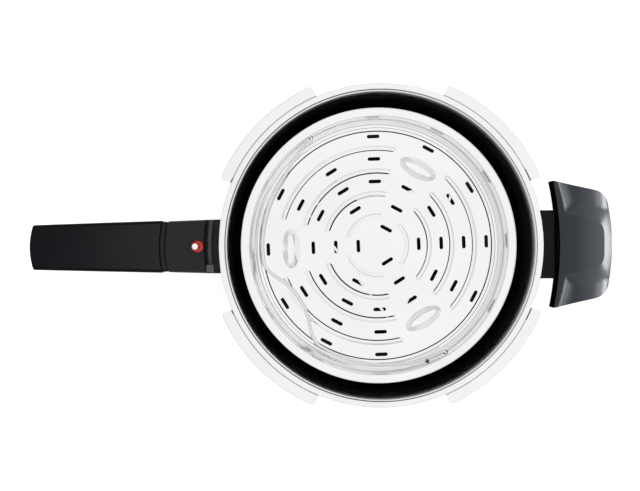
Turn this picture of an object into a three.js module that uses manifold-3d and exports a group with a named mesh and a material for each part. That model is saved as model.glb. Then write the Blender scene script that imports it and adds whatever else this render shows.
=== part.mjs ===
// Pressure cooker pan with its lid off: polished pan with a bayonet rim, two black handles,
// and a perforated steamer basket with a wire bail on a three-cornered stand.
// Millimetres, +Z up, origin at the middle of the underside, +X towards the helper handle.
import * as THREE from "three";
import { mergeVertices } from "three/addons/utils/BufferGeometryUtils.js";
import Module from "manifold-3d";

const wasm = await Module();
wasm.setup();

// Clearance between pieces that sit in or on each other.
const gap = 0.3;

// Pan
const panRadius = 110;
const panDepth = 124;
const panSheet = 1.2;
const panCorner = 14;
const rimBend = 1.2;
const rimReach = 6.5;
const rimGroove = 0.3;
const aroundPan = 60;

// Bayonet lugs
const lugCount = 4;
const lugSpan = 44;
const lugReach = 8.4;
const lugDrop = 0.7;
const lugLip = 3;
const lugCorner = 3;

// Capsule base
const baseInset = 18;
const coreThickness = 6;
const capSheet = 0.8;
const capCorner = 3;

// Steamer basket
const basketSheet = 0.8;
const basketHeight = 30;
const basketDepthBelowRim = 45;
const basketRoom = 22.7;
const basketCorner = 5.5;
const basketDraft = 8;
const flangeWidth = 6.6;
const flangeBend = 1;
const patternTurn = 1.8;
const slotFirstRadius = 14.5;
const slotRings = 5;
const slotEdge = 3.9;
const slotLength = 9.5;
const slotWidth = 2.5;
const ribWidth = 3.6;
const ribStep = 0.4;
const ribCrest = 1.2;
const ribHeight = 0.9;
const ribHalfSpan = 43;
const footLength = 29;
const footWidth = 13;
const footDepth = 3;
const aroundBasket = 48;

// Wire bail of the basket
const wireRadius = 1.2;
const bailDropBelowFlange = 7;
const bailHumpDepth = 15.4;
const bailHumpHalfSpan = 29;
const bailHumpTurn = 2;
const bailHeadRadius = 2.1;

// Stand under the basket
const trivetInradius = 34;
const trivetCorner = 6;
const trivetStrip = 1.8;
const trivetBand = 12;
const trivetTurn = 217;
const trivetOffset = 7;

// Long handle
const handleTopBelowRim = 12.5;
const handleHeight = 28;
const handleHalfWidth = 19.5;
const handleEndHalfWidth = 16;
const guardReach = 14.8;
const guardStep = 2;
const guardLedge = 3.4;
const grooveWidth = 1.4;
const collarLength = 28.6;
const collarBow = 2.4;
const gripLength = 97.5;
const gripNeck = 2.8;
const gripNeckDrop = 0.9;
const gripWaist = 2;
const gripEndBow = 3.6;
const stopSize = 5.2;
const stopRise = 2.4;

// Lock pin in the long handle
const pinFromGuard = 6.9;
const pinRadius = 2.6;
const pinRise = 12;
const pinStroke = 4;
const bushRadius = 4.6;
const bushRise = 1.4;
const bushSeat = 4;
const clipThickness = 1.2;
const springWire = 0.8;
const springTurns = 3.5;

// Helper handle
const sideTopBelowRim = 14;
const sideHeight = 25;
const sideHalfWidth = 46.2;
const sideTaper = 9;
const sideLength = 38.8;
const sideCorner = 13;
const sideEndBow = 1.6;
const sideInnerBow = 3.6;
const sideStrip = 6;
const sideStripBow = 8;
const sideFlankDrop = 3;
const sideEndSlope = 7;
const sideEndDrop = 4.5;
const sideTongueHalfWidth = 23;
const sideTongueEndHalfWidth = 13;
const neckHalfWidth = 25;
const neckReach = 18.6;
const neckBelowTop = 8;

// Brackets and screws inside the handles
const saddleWidth = 30;
const saddleHeight = 15;
const saddleSheet = 2;
const bracketDrop = 17;
const sideBracketRise = 12;
const tongueThickness = 5;
const tongueWidth = 14;
const tongueInGrip = 42;
const screwFromTongueEnd = 12;
const sideTongueWidth = 34;
const sideTongueInGrip = 20;
const sideScrewFromTongueEnd = 8;
const screwRadius = 2;
const screwHeadRadius = 4;
const screwHeadHeight = 2.6;
const screwFloor = 2;
const washerThickness = 0.8;
const sideScrewPitch = 20;

// Levels and radii that follow from the sizes above
const panFloorZ = capSheet + coreThickness + panSheet;
const rimZ = panFloorZ + panDepth;
const panOuter = panRadius + panSheet;
const rimRadius = panRadius + rimReach;
const lugRadius = rimRadius + lugReach;
const basketFloorRadius = panRadius - basketRoom;
const slotPitch = (basketFloorRadius - slotEdge - slotFirstRadius) / (slotRings - 1);
const flangeZ = rimZ - basketDepthBelowRim;
const basketFloorZ = flangeZ - basketHeight;
const draftTan = Math.tan(rad(basketDraft));
const wallFootRadius = basketFloorRadius + basketCorner * Math.cos(rad(basketDraft));
const wallFootZ = basketFloorZ + basketCorner * (1 - Math.sin(rad(basketDraft)));
const mouthRadius = wallRadiusAt(flangeZ);
const handleTop = rimZ - handleTopBelowRim;
const handleBottom = handleTop - handleHeight;
const guardInner = panOuter + saddleSheet + 2 * gap;
const guardOuter = guardInner + guardReach - saddleSheet;
const collarInner = guardOuter + grooveWidth;
const collarEnd = collarInner + collarLength;
const gripStart = collarEnd + gap;
const gripEnd = gripStart + gripLength;
const bracketMidZ = handleTop - bracketDrop;
const tongueTop = bracketMidZ + tongueThickness / 2;
const pinX = guardOuter + pinFromGuard;
const sideTop = rimZ - sideTopBelowRim;
const sideBottom = sideTop - sideHeight;
const sideInner = guardInner + neckReach - saddleSheet;
const sideEnd = sideInner + sideLength;
const sideBracketMidZ = sideBottom + sideBracketRise;

function rad(degrees) {
  return THREE.MathUtils.degToRad(degrees);
}

function wallRadiusAt(z) {
  return wallFootRadius + (z - wallFootZ) * draftTan;
}

function polar(radius, degrees) {
  return [radius * Math.cos(rad(degrees)), radius * Math.sin(rad(degrees))];
}

// A geometry as a solid for joining and cutting.
function solid(geometry) {
  const bare = new THREE.BufferGeometry();
  bare.setAttribute("position", geometry.getAttribute("position"));
  bare.setIndex(geometry.index);
  const merged = mergeVertices(bare, 1e-4);
  const corners = merged.index.array;
  const kept = [];
  for (let i = 0; i < corners.length; i += 3) {
    const [a, b, c] = corners.slice(i, i + 3);
    if (a !== b && b !== c && c !== a) kept.push(a, b, c);
  }
  return new wasm.Manifold(
    new wasm.Mesh({
      numProp: 3,
      vertProperties: merged.attributes.position.array,
      triVerts: new Uint32Array(kept),
    }),
  );
}

function union(solids) {
  return solids.reduce((joined, next) => joined.add(next));
}

// A named mesh from a solid.
function node(name, body) {
  const made = body.getMesh();
  const geometry = new THREE.BufferGeometry();
  geometry.setAttribute("position", new THREE.BufferAttribute(made.vertProperties, 3));
  geometry.setIndex(new THREE.BufferAttribute(made.triVerts, 1));
  const mesh = new THREE.Mesh(geometry, new THREE.MeshStandardMaterial());
  mesh.name = name;
  return mesh;
}

// A solid of revolution about Z; the path runs outwards below, up outside and back inside.
function turned(path, around) {
  const geometry = new THREE.LatheGeometry(path.getPoints(2), around);
  return solid(geometry.rotateX(Math.PI / 2));
}

function disc(radius, z0, z1, x = 0, y = 0, sides = 24) {
  const geometry = new THREE.CylinderGeometry(radius, radius, z1 - z0, sides);
  return solid(geometry.rotateX(Math.PI / 2).translate(x, y, (z0 + z1) / 2));
}

function box(x0, x1, y0, y1, z0, z1) {
  const geometry = new THREE.BoxGeometry(x1 - x0, y1 - y0, z1 - z0);
  return solid(geometry.translate((x0 + x1) / 2, (y0 + y1) / 2, (z0 + z1) / 2));
}

function extruded(shape, z0, z1, curveSegments = 6) {
  const geometry = new THREE.ExtrudeGeometry(shape, { depth: z1 - z0, bevelEnabled: false, curveSegments });
  return solid(geometry.translate(0, 0, z0));
}

function ring(inner, outer, z0, z1, around) {
  const path = new THREE.Path();
  path.moveTo(inner, z0).lineTo(outer, z0).lineTo(outer, z1).lineTo(inner, z1).lineTo(inner, z0);
  return turned(path, around);
}

// A flat piece of a ring between two angles.
function ringSector(inner, outer, middle, halfSpan) {
  const shape = new THREE.Shape();
  shape.absarc(0, 0, outer, rad(middle - halfSpan), rad(middle + halfSpan), false);
  shape.absarc(0, 0, inner, rad(middle + halfSpan), rad(middle - halfSpan), true);
  return shape;
}

// A ring sector whose two outer corners are rounded.
function roundedSector(inner, outer, middle, halfSpan, corner) {
  const turn = THREE.MathUtils.radToDeg(corner / outer);
  const [first, last] = [middle - halfSpan, middle + halfSpan];
  const shape = new THREE.Shape();
  shape.moveTo(...polar(inner, first)).lineTo(...polar(outer - corner, first));
  shape.quadraticCurveTo(...polar(outer, first), ...polar(outer, first + turn));
  shape.absarc(0, 0, outer, rad(first + turn), rad(last - turn), false);
  shape.quadraticCurveTo(...polar(outer, last), ...polar(outer - corner, last));
  shape.lineTo(...polar(inner, last)).lineTo(...polar(inner, first));
  return shape;
}

// A closed skin over rings of points, each ring seen anticlockwise from the far end.
function loft(rings, start = middleOf(rings[0]), finish = middleOf(rings[rings.length - 1])) {
  const count = rings[0].length;
  const points = rings.flat();
  const faces = [];
  for (let i = 0; i + 1 < rings.length; i++) {
    for (let j = 0; j < count; j++) {
      const a = i * count + j;
      const b = i * count + ((j + 1) % count);
      faces.push(a, b, a + count, b, b + count, a + count);
    }
  }
  const last = (rings.length - 1) * count;
  const first = points.push(start) - 1;
  const end = points.push(finish) - 1;
  for (let j = 0; j < count; j++) {
    const next = (j + 1) % count;
    faces.push(first, next, j, end, last + j, last + next);
  }
  const geometry = new THREE.BufferGeometry().setFromPoints(points);
  geometry.setIndex(faces);
  return solid(geometry);
}

function middleOf(points) {
  const sum = points.reduce((total, point) => total.add(point), new THREE.Vector3());
  return sum.divideScalar(points.length);
}

// A round wire along a curve.
function wire(curve, radius, steps, sides) {
  const section = new THREE.Shape();
  section.absarc(0, 0, radius, 0, 2 * Math.PI, false);
  const geometry = new THREE.ExtrudeGeometry(section, {
    steps,
    curveSegments: sides,
    bevelEnabled: false,
    extrudePath: curve,
  });
  return solid(geometry);
}

// Drawn pan: flat floor, round corner, straight wall and a rim turned outwards.
function panBody() {
  const under = rimZ - panSheet;
  const lip = panSheet + rimBend;
  const path = new THREE.Path();
  path.moveTo(0, panFloorZ - panSheet).lineTo(panRadius - panCorner, panFloorZ - panSheet);
  path.absarc(panRadius - panCorner, panFloorZ + panCorner, panCorner + panSheet, -Math.PI / 2, 0, false);
  path.lineTo(panOuter, under - rimBend);
  path.lineTo(panOuter + rimBend, under).lineTo(rimRadius - panSheet / 3, under);
  path.lineTo(rimRadius, under + panSheet / 3).lineTo(rimRadius, rimZ - panSheet / 3);
  path.lineTo(rimRadius - panSheet / 3, rimZ);
  path.lineTo(panRadius + lip + rimGroove, rimZ);
  path.lineTo(panRadius + lip, rimZ - rimGroove);
  path.absarc(panRadius + lip, rimZ - lip - rimGroove, lip, Math.PI / 2, Math.PI, false);
  path.lineTo(panRadius, panFloorZ + panCorner);
  path.absarc(panRadius - panCorner, panFloorZ + panCorner, panCorner, 0, -Math.PI / 2, true);
  path.lineTo(0, panFloorZ);
  return turned(path, aroundPan);
}

// Four lugs outside the rim with a turned-down lip, cut out of one turned ring.
function bayonetLugs() {
  const top = rimZ - lugDrop;
  const root = rimRadius - panSheet;
  const path = new THREE.Path();
  path.moveTo(root, top - panSheet).lineTo(lugRadius - panSheet, top - panSheet);
  path.lineTo(lugRadius - panSheet, top - lugLip).lineTo(lugRadius, top - lugLip);
  path.lineTo(lugRadius, top - panSheet);
  path.absarc(lugRadius - panSheet, top - panSheet, panSheet, 0, Math.PI / 2, false);
  path.lineTo(root, top).lineTo(root, top - panSheet);
  const whole = turned(path, aroundPan);
  const sectors = [];
  for (let i = 0; i < lugCount; i++) {
    const middle = (360 / lugCount) * (i + 0.5);
    const sector = roundedSector(root - 1, lugRadius + gap, middle, lugSpan / 2, lugCorner);
    sectors.push(extruded(sector, top - 2 * lugLip, rimZ + 1, 4));
  }
  return whole.intersect(union(sectors));
}

function potShell() {
  return node("pot_shell", panBody().add(bayonetLugs()));
}

function baseCap() {
  const radius = panRadius - baseInset;
  const top = capSheet + coreThickness;
  const path = new THREE.Path();
  path.moveTo(0, 0).lineTo(radius - capCorner, 0);
  path.lineTo(radius, capCorner).lineTo(radius, top).lineTo(radius - capSheet, top).lineTo(radius - capSheet, capCorner);
  path.lineTo(radius - capCorner, capSheet).lineTo(0, capSheet);
  return node("base_cap", turned(path, aroundPan));
}

function baseCore() {
  const radius = panRadius - baseInset - capSheet - gap;
  const top = capSheet + coreThickness;
  const path = new THREE.Path();
  path.moveTo(0, capSheet).lineTo(radius - capCorner, capSheet).lineTo(radius, capCorner + gap);
  path.lineTo(radius, top).lineTo(0, top);
  return node("base_core", turned(path, aroundPan));
}

// Pressed dish with a flat flange.
function basketDish() {
  const flat = mouthRadius + flangeBend;
  const rim = flat + flangeWidth - flangeBend;
  const draft = rad(basketDraft);
  const cornerZ = basketFloorZ + basketCorner;
  const path = new THREE.Path();
  path.moveTo(0, basketFloorZ - basketSheet).lineTo(basketFloorRadius, basketFloorZ - basketSheet);
  path.absarc(basketFloorRadius, cornerZ, basketCorner + basketSheet, -Math.PI / 2, -draft, false);
  path.lineTo(mouthRadius + basketSheet, flangeZ - basketSheet - flangeBend);
  path.lineTo(flat + basketSheet, flangeZ - basketSheet).lineTo(rim, flangeZ - basketSheet);
  path.lineTo(rim, flangeZ).lineTo(flat, flangeZ);
  path.lineTo(mouthRadius - flangeBend * draftTan, flangeZ - flangeBend);
  path.absarc(basketFloorRadius, cornerZ, basketCorner, -draft, -Math.PI / 2, true);
  path.lineTo(0, basketFloorZ);
  return turned(path, aroundBasket);
}

// Angles, counted in the pattern of 30 degree steps, that each slot ring uses.
function slotAngles(ringIndex) {
  const steps = [...Array(12).keys()].map((i) => 30 * i);
  const atFeet = (a) => a % 120 === 60;
  if (ringIndex === 0) return steps.filter(atFeet);
  if (ringIndex === 1) return steps.filter((a) => a % 60 === 0);
  if (ringIndex === 2) return steps;
  if (ringIndex === 3) return steps.filter((a) => !atFeet(a));
  return steps.filter((a) => a !== 120 && a !== 300);
}

function slotRadius(ringIndex) {
  return slotFirstRadius + slotPitch * ringIndex;
}

function slotCutters() {
  const shape = new THREE.Shape();
  const straight = (slotLength - slotWidth) / 2;
  shape.absarc(0, straight, slotWidth / 2, 0, Math.PI, false);
  shape.absarc(0, -straight, slotWidth / 2, Math.PI, 2 * Math.PI, false);
  const cutters = [];
  for (let ringIndex = 0; ringIndex < slotRings; ringIndex++) {
    for (const angle of slotAngles(ringIndex)) {
      const cutter = extruded(shape, basketFloorZ - 2 * basketSheet, basketFloorZ + basketSheet, 2);
      cutters.push(cutter.translate([slotRadius(ringIndex), 0, 0]).rotate([0, 0, angle]));
    }
  }
  return union(cutters);
}

// Pressed arcs between the slot rings, in three sectors, steep on the inner side.
function ribs() {
  const made = [];
  for (let i = 0; i < slotRings - 1; i++) {
    const radius = slotRadius(i) + slotPitch / 2;
    const sunk = basketFloorZ - basketSheet / 2;
    const path = new THREE.Path();
    path.moveTo(radius - ribWidth / 2, sunk).lineTo(radius + ribWidth / 2, sunk);
    path.lineTo(radius + ribWidth / 2, basketFloorZ);
    path.lineTo(radius - ribWidth / 2 + ribStep + ribCrest, basketFloorZ + ribHeight);
    path.lineTo(radius - ribWidth / 2 + ribStep, basketFloorZ + ribHeight);
    path.lineTo(radius - ribWidth / 2, basketFloorZ).lineTo(radius - ribWidth / 2, sunk);
    const whole = turned(path, aroundBasket);
    for (let sector = 0; sector < 3; sector++) {
      const cut = ringSector(radius - ribWidth, radius + ribWidth, 120 * sector, ribHalfSpan);
      made.push(whole.intersect(extruded(cut, sunk - 1, basketFloorZ + 2 * ribHeight, 3)));
    }
  }
  return union(made);
}

// An oval cup below the floor; grown by the sheet it is the outside, at zero the hollow.
function footOval(grow, z0, z1) {
  const shape = new THREE.Shape();
  shape.absellipse(0, 0, footWidth / 2 + grow, footLength / 2 + grow, 0, 2 * Math.PI, false);
  return extruded(shape, z0, z1, 8).translate([slotRadius(3), 0, 0]);
}

function steamerBasket() {
  let body = basketDish().add(ribs());
  const bottom = basketFloorZ - footDepth;
  for (const angle of [60, 180, 300]) {
    const outside = footOval(0, bottom, basketFloorZ - basketSheet / 2);
    const hollow = footOval(-basketSheet, bottom + basketSheet, basketFloorZ + 1);
    body = body.add(outside.rotate([0, 0, angle])).subtract(hollow.rotate([0, 0, angle]));
  }
  body = body.subtract(slotCutters());
  const hole = solid(new THREE.CylinderGeometry(wireRadius + gap, wireRadius + gap, 3 * mouthRadius, 12));
  body = body.subtract(hole.rotate([0, 0, 30]).translate([0, 0, flangeZ - bailDropBelowFlange]));
  return node("steamer_basket", body.rotate([0, 0, patternTurn]));
}

// Folded bail: out of a hole, round the wall, an inward hump, and back to the other hole.
function basketBail() {
  const pivotZ = flangeZ - bailDropBelowFlange;
  const wall = wallRadiusAt(pivotZ);
  const reach = wall - wireRadius - 3 * gap;
  const rest = basketFloorRadius + 0.3;
  const fall = (pivotZ - basketFloorZ - wireRadius - 2 * gap) / rest;
  const outside = wall + basketSheet + bailHeadRadius + 2 * gap;
  const points = [];
  for (let angle = 6; angle <= 174; angle += 3) {
    const side = Math.sin(rad(angle));
    const off = Math.abs(angle - 90 - bailHumpTurn) / bailHumpHalfSpan;
    const hump = off < 1 ? (bailHumpDepth * (1 + Math.cos(Math.PI * off))) / 2 : 0;
    const radius = reach - (reach - rest) * side - hump;
    const [x, y] = polar(radius, angle);
    points.push(new THREE.Vector3(x, y, pivotZ - y * fall));
  }
  const ends = [reach, wall + basketSheet, outside];
  points.unshift(...ends.toReversed().map((x) => new THREE.Vector3(x, 0, pivotZ)));
  points.push(...ends.map((x) => new THREE.Vector3(-x, 0, pivotZ)));
  const curve = new THREE.CatmullRomCurve3(points);
  const heads = [-outside, outside].map((x) => {
    const head = new THREE.SphereGeometry(bailHeadRadius, 8, 5);
    return solid(head.translate(x, 0, pivotZ));
  });
  const bail = union([wire(curve, wireRadius, 72, 3), ...heads]);
  return node("basket_bail", bail.rotate([0, 0, 120 + patternTurn]));
}

function roundedTriangle(inradius, corner) {
  const shape = new THREE.Shape();
  for (let i = 0; i < 3; i++) {
    const middle = 60 + 120 * i;
    const [x, y] = polar(2 * (inradius - corner), middle);
    shape.absarc(x, y, corner, rad(middle - 60), rad(middle + 60), false);
  }
  return shape;
}

// Strip bent into a three-cornered hoop, cut away between its three legs.
function trivet() {
  const top = basketFloorZ - basketSheet - gap;
  const outer = roundedTriangle(trivetInradius + trivetStrip / 2, trivetCorner + trivetStrip / 2);
  const inner = roundedTriangle(trivetInradius - trivetStrip / 2, trivetCorner - trivetStrip / 2);
  let body = extruded(outer, panFloorZ, top).subtract(extruded(inner, panFloorZ - 1, top + 1));
  const halfWindow = Math.sqrt(3) * (trivetInradius - trivetCorner) - trivetCorner;
  for (let i = 0; i < 3; i++) {
    const window = box(0, 2 * trivetInradius, -halfWindow, halfWindow, panFloorZ - 1, top - trivetBand);
    body = body.subtract(window.rotate([0, 0, 120 * i]));
  }
  const [x, y] = polar(trivetOffset, trivetTurn + 180);
  return node("trivet", body.rotate([0, 0, trivetTurn]).translate([x, y, 0]));
}

// Points of a rounded block section, anticlockwise seen from +X, bowed back towards its sides.
function blockRing(x, halfWidth, z0, z1, corner, bow) {
  const outline = new THREE.Path();
  const flat = halfWidth - corner;
  const steps = [1, 0.6, 0.2, -0.2, -0.6, -1];
  outline.moveTo(halfWidth, z1 - corner).absarc(flat, z1 - corner, corner, 0, Math.PI / 2, false);
  steps.forEach((step) => outline.lineTo(flat * step, z1));
  outline.absarc(-flat, z1 - corner, corner, Math.PI / 2, Math.PI, false);
  outline.lineTo(-halfWidth, z0 + corner).absarc(-flat, z0 + corner, corner, Math.PI, 1.5 * Math.PI, false);
  steps.forEach((step) => outline.lineTo(-flat * step, z0));
  outline.absarc(flat, z0 + corner, corner, 1.5 * Math.PI, 2 * Math.PI, false);
  const apart = outline.getPoints(2).filter((point, i, all) => i === 0 || point.distanceTo(all[i - 1]) > 1e-6);
  return apart.map((point) => {
    const back = bow * (point.x / halfWidth) ** 2;
    return new THREE.Vector3(x - back, point.x, point.y);
  });
}

// A block lofted along +X through its rings, with end faces that follow the bow.
function blockLoft(rings) {
  const centre = (points) => {
    const middle = middleOf(points);
    return middle.setX(Math.max(...points.map((point) => point.x))).setY(0);
  };
  return loft(rings, centre(rings[0]), centre(rings[rings.length - 1]));
}

// Steel saddle on the pan wall with a flat tongue for a handle.
function bracket(name, midZ, width, tongueEnd, screwX, screwYs) {
  const half = saddleHeight / 2;
  const saddleInner = panOuter + gap;
  const span = THREE.MathUtils.radToDeg(saddleWidth / 2 / saddleInner);
  const saddle = ringSector(saddleInner, saddleInner + saddleSheet, 0, span);
  let body = extruded(saddle, midZ - half, midZ + half);
  const root = saddleInner + saddleSheet - 1;
  const low = midZ - tongueThickness / 2;
  body = body.add(box(root, tongueEnd, -width / 2, width / 2, low, low + tongueThickness));
  for (const y of screwYs) {
    body = body.subtract(disc(screwRadius + gap, low - 1, low + tongueThickness + 1, screwX, y, 12));
  }
  return node(name, body);
}

// Room for a bracket's saddle and tongue inside a black piece.
function bracketRoom(midZ, width, tongueEnd) {
  const half = saddleHeight / 2 + gap;
  const low = midZ - tongueThickness / 2 - gap;
  const high = midZ + tongueThickness / 2 + gap;
  const tongue = box(panOuter, tongueEnd + gap, -width / 2 - gap, width / 2 + gap, low, high);
  const outer = panOuter + saddleSheet + 2 * gap;
  const saddle = box(panOuter / 2, outer, -saddleWidth / 2 - gap, saddleWidth / 2 + gap, midZ - half, midZ + half);
  return tongue.add(saddle);
}

function screw(name, x, y, seatZ, topZ) {
  const low = seatZ - screwHeadHeight;
  const head = disc(screwHeadRadius, low, seatZ, x, y, 20);
  const driveSlot = box(x - screwHeadRadius, x + screwHeadRadius, y - 0.6, y + 0.6, low - 1, low + 1);
  return node(name, head.subtract(driveSlot).add(disc(screwRadius, seatZ - 1, topZ, x, y, 12)));
}

function washer(name, x, y, seatZ) {
  const body = ring(screwRadius + gap, screwHeadRadius, seatZ, seatZ + washerThickness, 20);
  return node(name, body.translate([x, y, 0]));
}

// Holes below a grip for a screw, its washer and its head.
function screwRoom(x, y, lowZ, seatZ, topZ) {
  const wide = disc(screwHeadRadius + gap, lowZ - 5, seatZ + washerThickness + gap, x, y, 20);
  return wide.add(disc(screwRadius + gap, seatZ, topZ, x, y, 12));
}

// Everything that stays inside the line between the pan wall and an arc about the pan axis.
function panClearance(radius) {
  return disc(radius, 0, 2 * rimZ, 0, 0, aroundPan * 2);
}

// Black apron between the pan wall and the collar, stepped down under the rim.
function handleGuard() {
  const rings = [
    blockRing(panRadius, handleHalfWidth, handleBottom, handleTop, 2, 0),
    blockRing(guardOuter + 2, handleHalfWidth, handleBottom, handleTop, 2, 0),
  ];
  let body = blockLoft(rings).intersect(panClearance(guardOuter)).subtract(panClearance(panOuter + gap));
  const step = disc(guardOuter - guardLedge, handleTop - guardStep, rimZ, 0, 0, aroundPan * 2);
  body = body.subtract(step).subtract(bracketRoom(bracketMidZ, tongueWidth, collarEnd));
  const half = stopSize / 2 + gap;
  const [x, y] = stopPlace();
  body = body.subtract(box(x - half, x + half, y - half, y + half, stopFoot() - gap, rimZ));
  return node("handle_guard", body);
}

function stopPlace() {
  return [guardOuter - stopSize / 2 - 0.6, handleHalfWidth - stopSize / 2 - 1];
}

function stopFoot() {
  return handleTop - guardStep - stopSize;
}

function lidStop() {
  const half = stopSize / 2;
  const [x, y] = stopPlace();
  return node("lid_stop", box(x - half, x + half, y - half, y + half, stopFoot(), handleTop + stopRise));
}

// Black block round the lock pin; its outer end bows into the grip.
function handleCollar() {
  const endHalf = handleHalfWidth - 0.9;
  const shy = 1;
  const rings = [
    blockRing(guardOuter - 2, handleHalfWidth, handleBottom, handleTop, 3, 0),
    blockRing(collarEnd - 2 * shy, endHalf, handleBottom, handleTop, 3, collarBow),
    blockRing(collarEnd - shy / 2, endHalf - shy / 4, handleBottom + shy / 4, handleTop - shy / 4, 3, collarBow),
    blockRing(collarEnd, endHalf - shy, handleBottom + shy, handleTop - shy, 3, collarBow),
  ];
  let body = blockLoft(rings).subtract(panClearance(collarInner));
  body = body.subtract(bracketRoom(bracketMidZ, tongueWidth, gripEnd));
  const bore = disc(bushRadius - 1 + gap, tongueTop, handleTop + 1, pinX, 0, 20);
  return node("handle_collar", body.subtract(bore));
}

// Black grip: recessed neck against the collar, waist below, bowed end.
function handleGrip() {
  const shoulder = gripStart + gripNeck;
  const sections = [
    [gripStart, 1, gripNeckDrop, 0, collarBow],
    [shoulder - gap, 1, gripNeckDrop, 0, collarBow],
    [shoulder + gap, 0, 0.2, 0, collarBow],
    [shoulder + 1.2, 0, 0, 0, collarBow],
    [shoulder + 0.2 * gripLength, 0, 0, 0.4, 1],
    [shoulder + 0.45 * gripLength, 0, 0, 1, 0],
    [shoulder + 0.7 * gripLength, 0, 0, 0.4, 1],
    [gripEnd - 2, 0, 0, 0, gripEndBow],
    [gripEnd - 0.6, 0, 0.3, 0, gripEndBow],
    [gripEnd, 0, 1, 0, gripEndBow],
  ];
  const rings = sections.map(([x, neck, shrink, waist, bow]) => {
    const along = (x - gripStart) / gripLength;
    const half = handleHalfWidth - 0.9 + (handleEndHalfWidth - handleHalfWidth + 0.9) * along - shrink;
    const low = handleBottom + gripWaist * waist + shrink;
    return blockRing(x, half, low, handleTop - shrink, neck ? 3 : 5, bow);
  });
  const tongueEnd = collarEnd + tongueInGrip;
  let body = blockLoft(rings).subtract(bracketRoom(bracketMidZ, tongueWidth, tongueEnd));
  const [x, seat] = handleScrewPlace();
  body = body.subtract(screwRoom(x, 0, handleBottom, seat, bracketMidZ));
  return node("handle_grip", body);
}

// The screw's distance along the handle and the level of its head's upper face.
function handleScrewPlace() {
  const x = collarEnd + tongueInGrip - screwFromTongueEnd;
  return [x, bracketMidZ - tongueThickness / 2 - gap - screwFloor - washerThickness - gap];
}

function lockBush() {
  const foot = handleTop - bushSeat;
  const seat = handleTop + gap;
  const top = seat + bushRise;
  const bore = pinRadius + gap;
  const path = new THREE.Path();
  path.moveTo(bore, foot).lineTo(bushRadius - 1, foot).lineTo(bushRadius - 1, seat).lineTo(bushRadius, seat);
  path.lineTo(bushRadius, top - 0.5).lineTo(bushRadius - 0.5, top).lineTo(bore + 0.3, top);
  path.lineTo(bore, top - 0.6).lineTo(bore, foot);
  return node("lock_bush", turned(path, 24).translate([pinX, 0, 0]));
}

function clipTop() {
  return handleTop - bushSeat - gap;
}

function springLevels() {
  return [tongueTop + gap, clipTop() - clipThickness - gap];
}

// Steel pin with a domed top, a groove for the clip and a thinner stem inside the spring.
function lockPin() {
  const [springLow] = springLevels();
  const top = handleTop + pinRise;
  const clipHigh = clipTop() + gap;
  const clipLow = clipTop() - clipThickness - gap;
  const stem = pinRadius - 1;
  const foot = springLow + pinStroke + gap;
  const path = new THREE.Path();
  path.moveTo(0, foot).lineTo(stem, foot).lineTo(stem, clipHigh).lineTo(pinRadius, clipHigh);
  path.lineTo(pinRadius, top - 0.7).lineTo(pinRadius - 0.6, top).lineTo(0, top);
  const shoulder = ring(stem - 0.5, stem + 0.5, clipLow - 0.4, clipLow, 20);
  return node("lock_pin", turned(path, 20).add(shoulder).translate([pinX, 0, 0]));
}

function lockClip() {
  const stem = pinRadius - 1;
  const body = ring(stem + gap, bushRadius - 1.2, clipTop() - clipThickness, clipTop(), 20);
  return node("lock_clip", body.translate([pinX, 0, 0]));
}

class Helix extends THREE.Curve {
  constructor(radius, low, high, turns) {
    super();
    Object.assign(this, { radius, low, high, turns });
  }

  getPoint(t) {
    const angle = 2 * Math.PI * this.turns * t;
    const z = this.low + (this.high - this.low) * t;
    return new THREE.Vector3(this.radius * Math.cos(angle), this.radius * Math.sin(angle), z);
  }
}

function lockSpring() {
  const [low, high] = springLevels();
  const radius = bushRadius - 1.2 - springWire / 2;
  const half = springWire / 2;
  const curve = new Helix(radius, low + half, high - half - 2 * gap, springTurns);
  const rise = (high - low - springWire - 2 * gap) / springTurns;
  console.log("lock_spring gap between turns", (rise - springWire).toFixed(2), "mm");
  return node("lock_spring", wire(curve, half, 42, 3).translate([pinX, 0, 0]));
}

function longHandle() {
  const group = new THREE.Group();
  group.name = "long_handle";
  const [screwX, seat] = handleScrewPlace();
  group.add(bracket("handle_bracket", bracketMidZ, tongueWidth, collarEnd + tongueInGrip, screwX, [0]));
  group.add(handleGuard(), handleCollar(), handleGrip(), lidStop());
  group.add(screw("handle_screw", screwX, 0, seat, bracketMidZ + 1));
  group.add(washer("handle_washer", screwX, 0, seat));
  group.add(lockBush(), lockPin(), lockClip(), lockSpring());
  group.rotation.z = Math.PI;
  return group;
}

// Everything on the pan side of the helper grip's hollow inner face.
function sideHollow(shy) {
  const radius = (sideHalfWidth ** 2 + sideInnerBow ** 2) / (2 * sideInnerBow);
  return disc(radius - shy, 0, 2 * rimZ, sideInner - radius, 0, 4 * aroundPan);
}

// Black neck from the pan wall to the helper grip.
function sideNeck() {
  const low = sideBottom + 1;
  const high = sideTop - neckBelowTop;
  const rings = [
    blockRing(panRadius, neckHalfWidth, low, high, 2, 0),
    blockRing(sideInner + 1, neckHalfWidth, low, high, 2, 0),
  ];
  let body = blockLoft(rings).intersect(sideHollow(gap)).subtract(panClearance(panOuter + gap));
  body = body.subtract(bracketRoom(sideBracketMidZ, sideTongueWidth, sideEnd));
  return node("side_neck", body);
}

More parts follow.
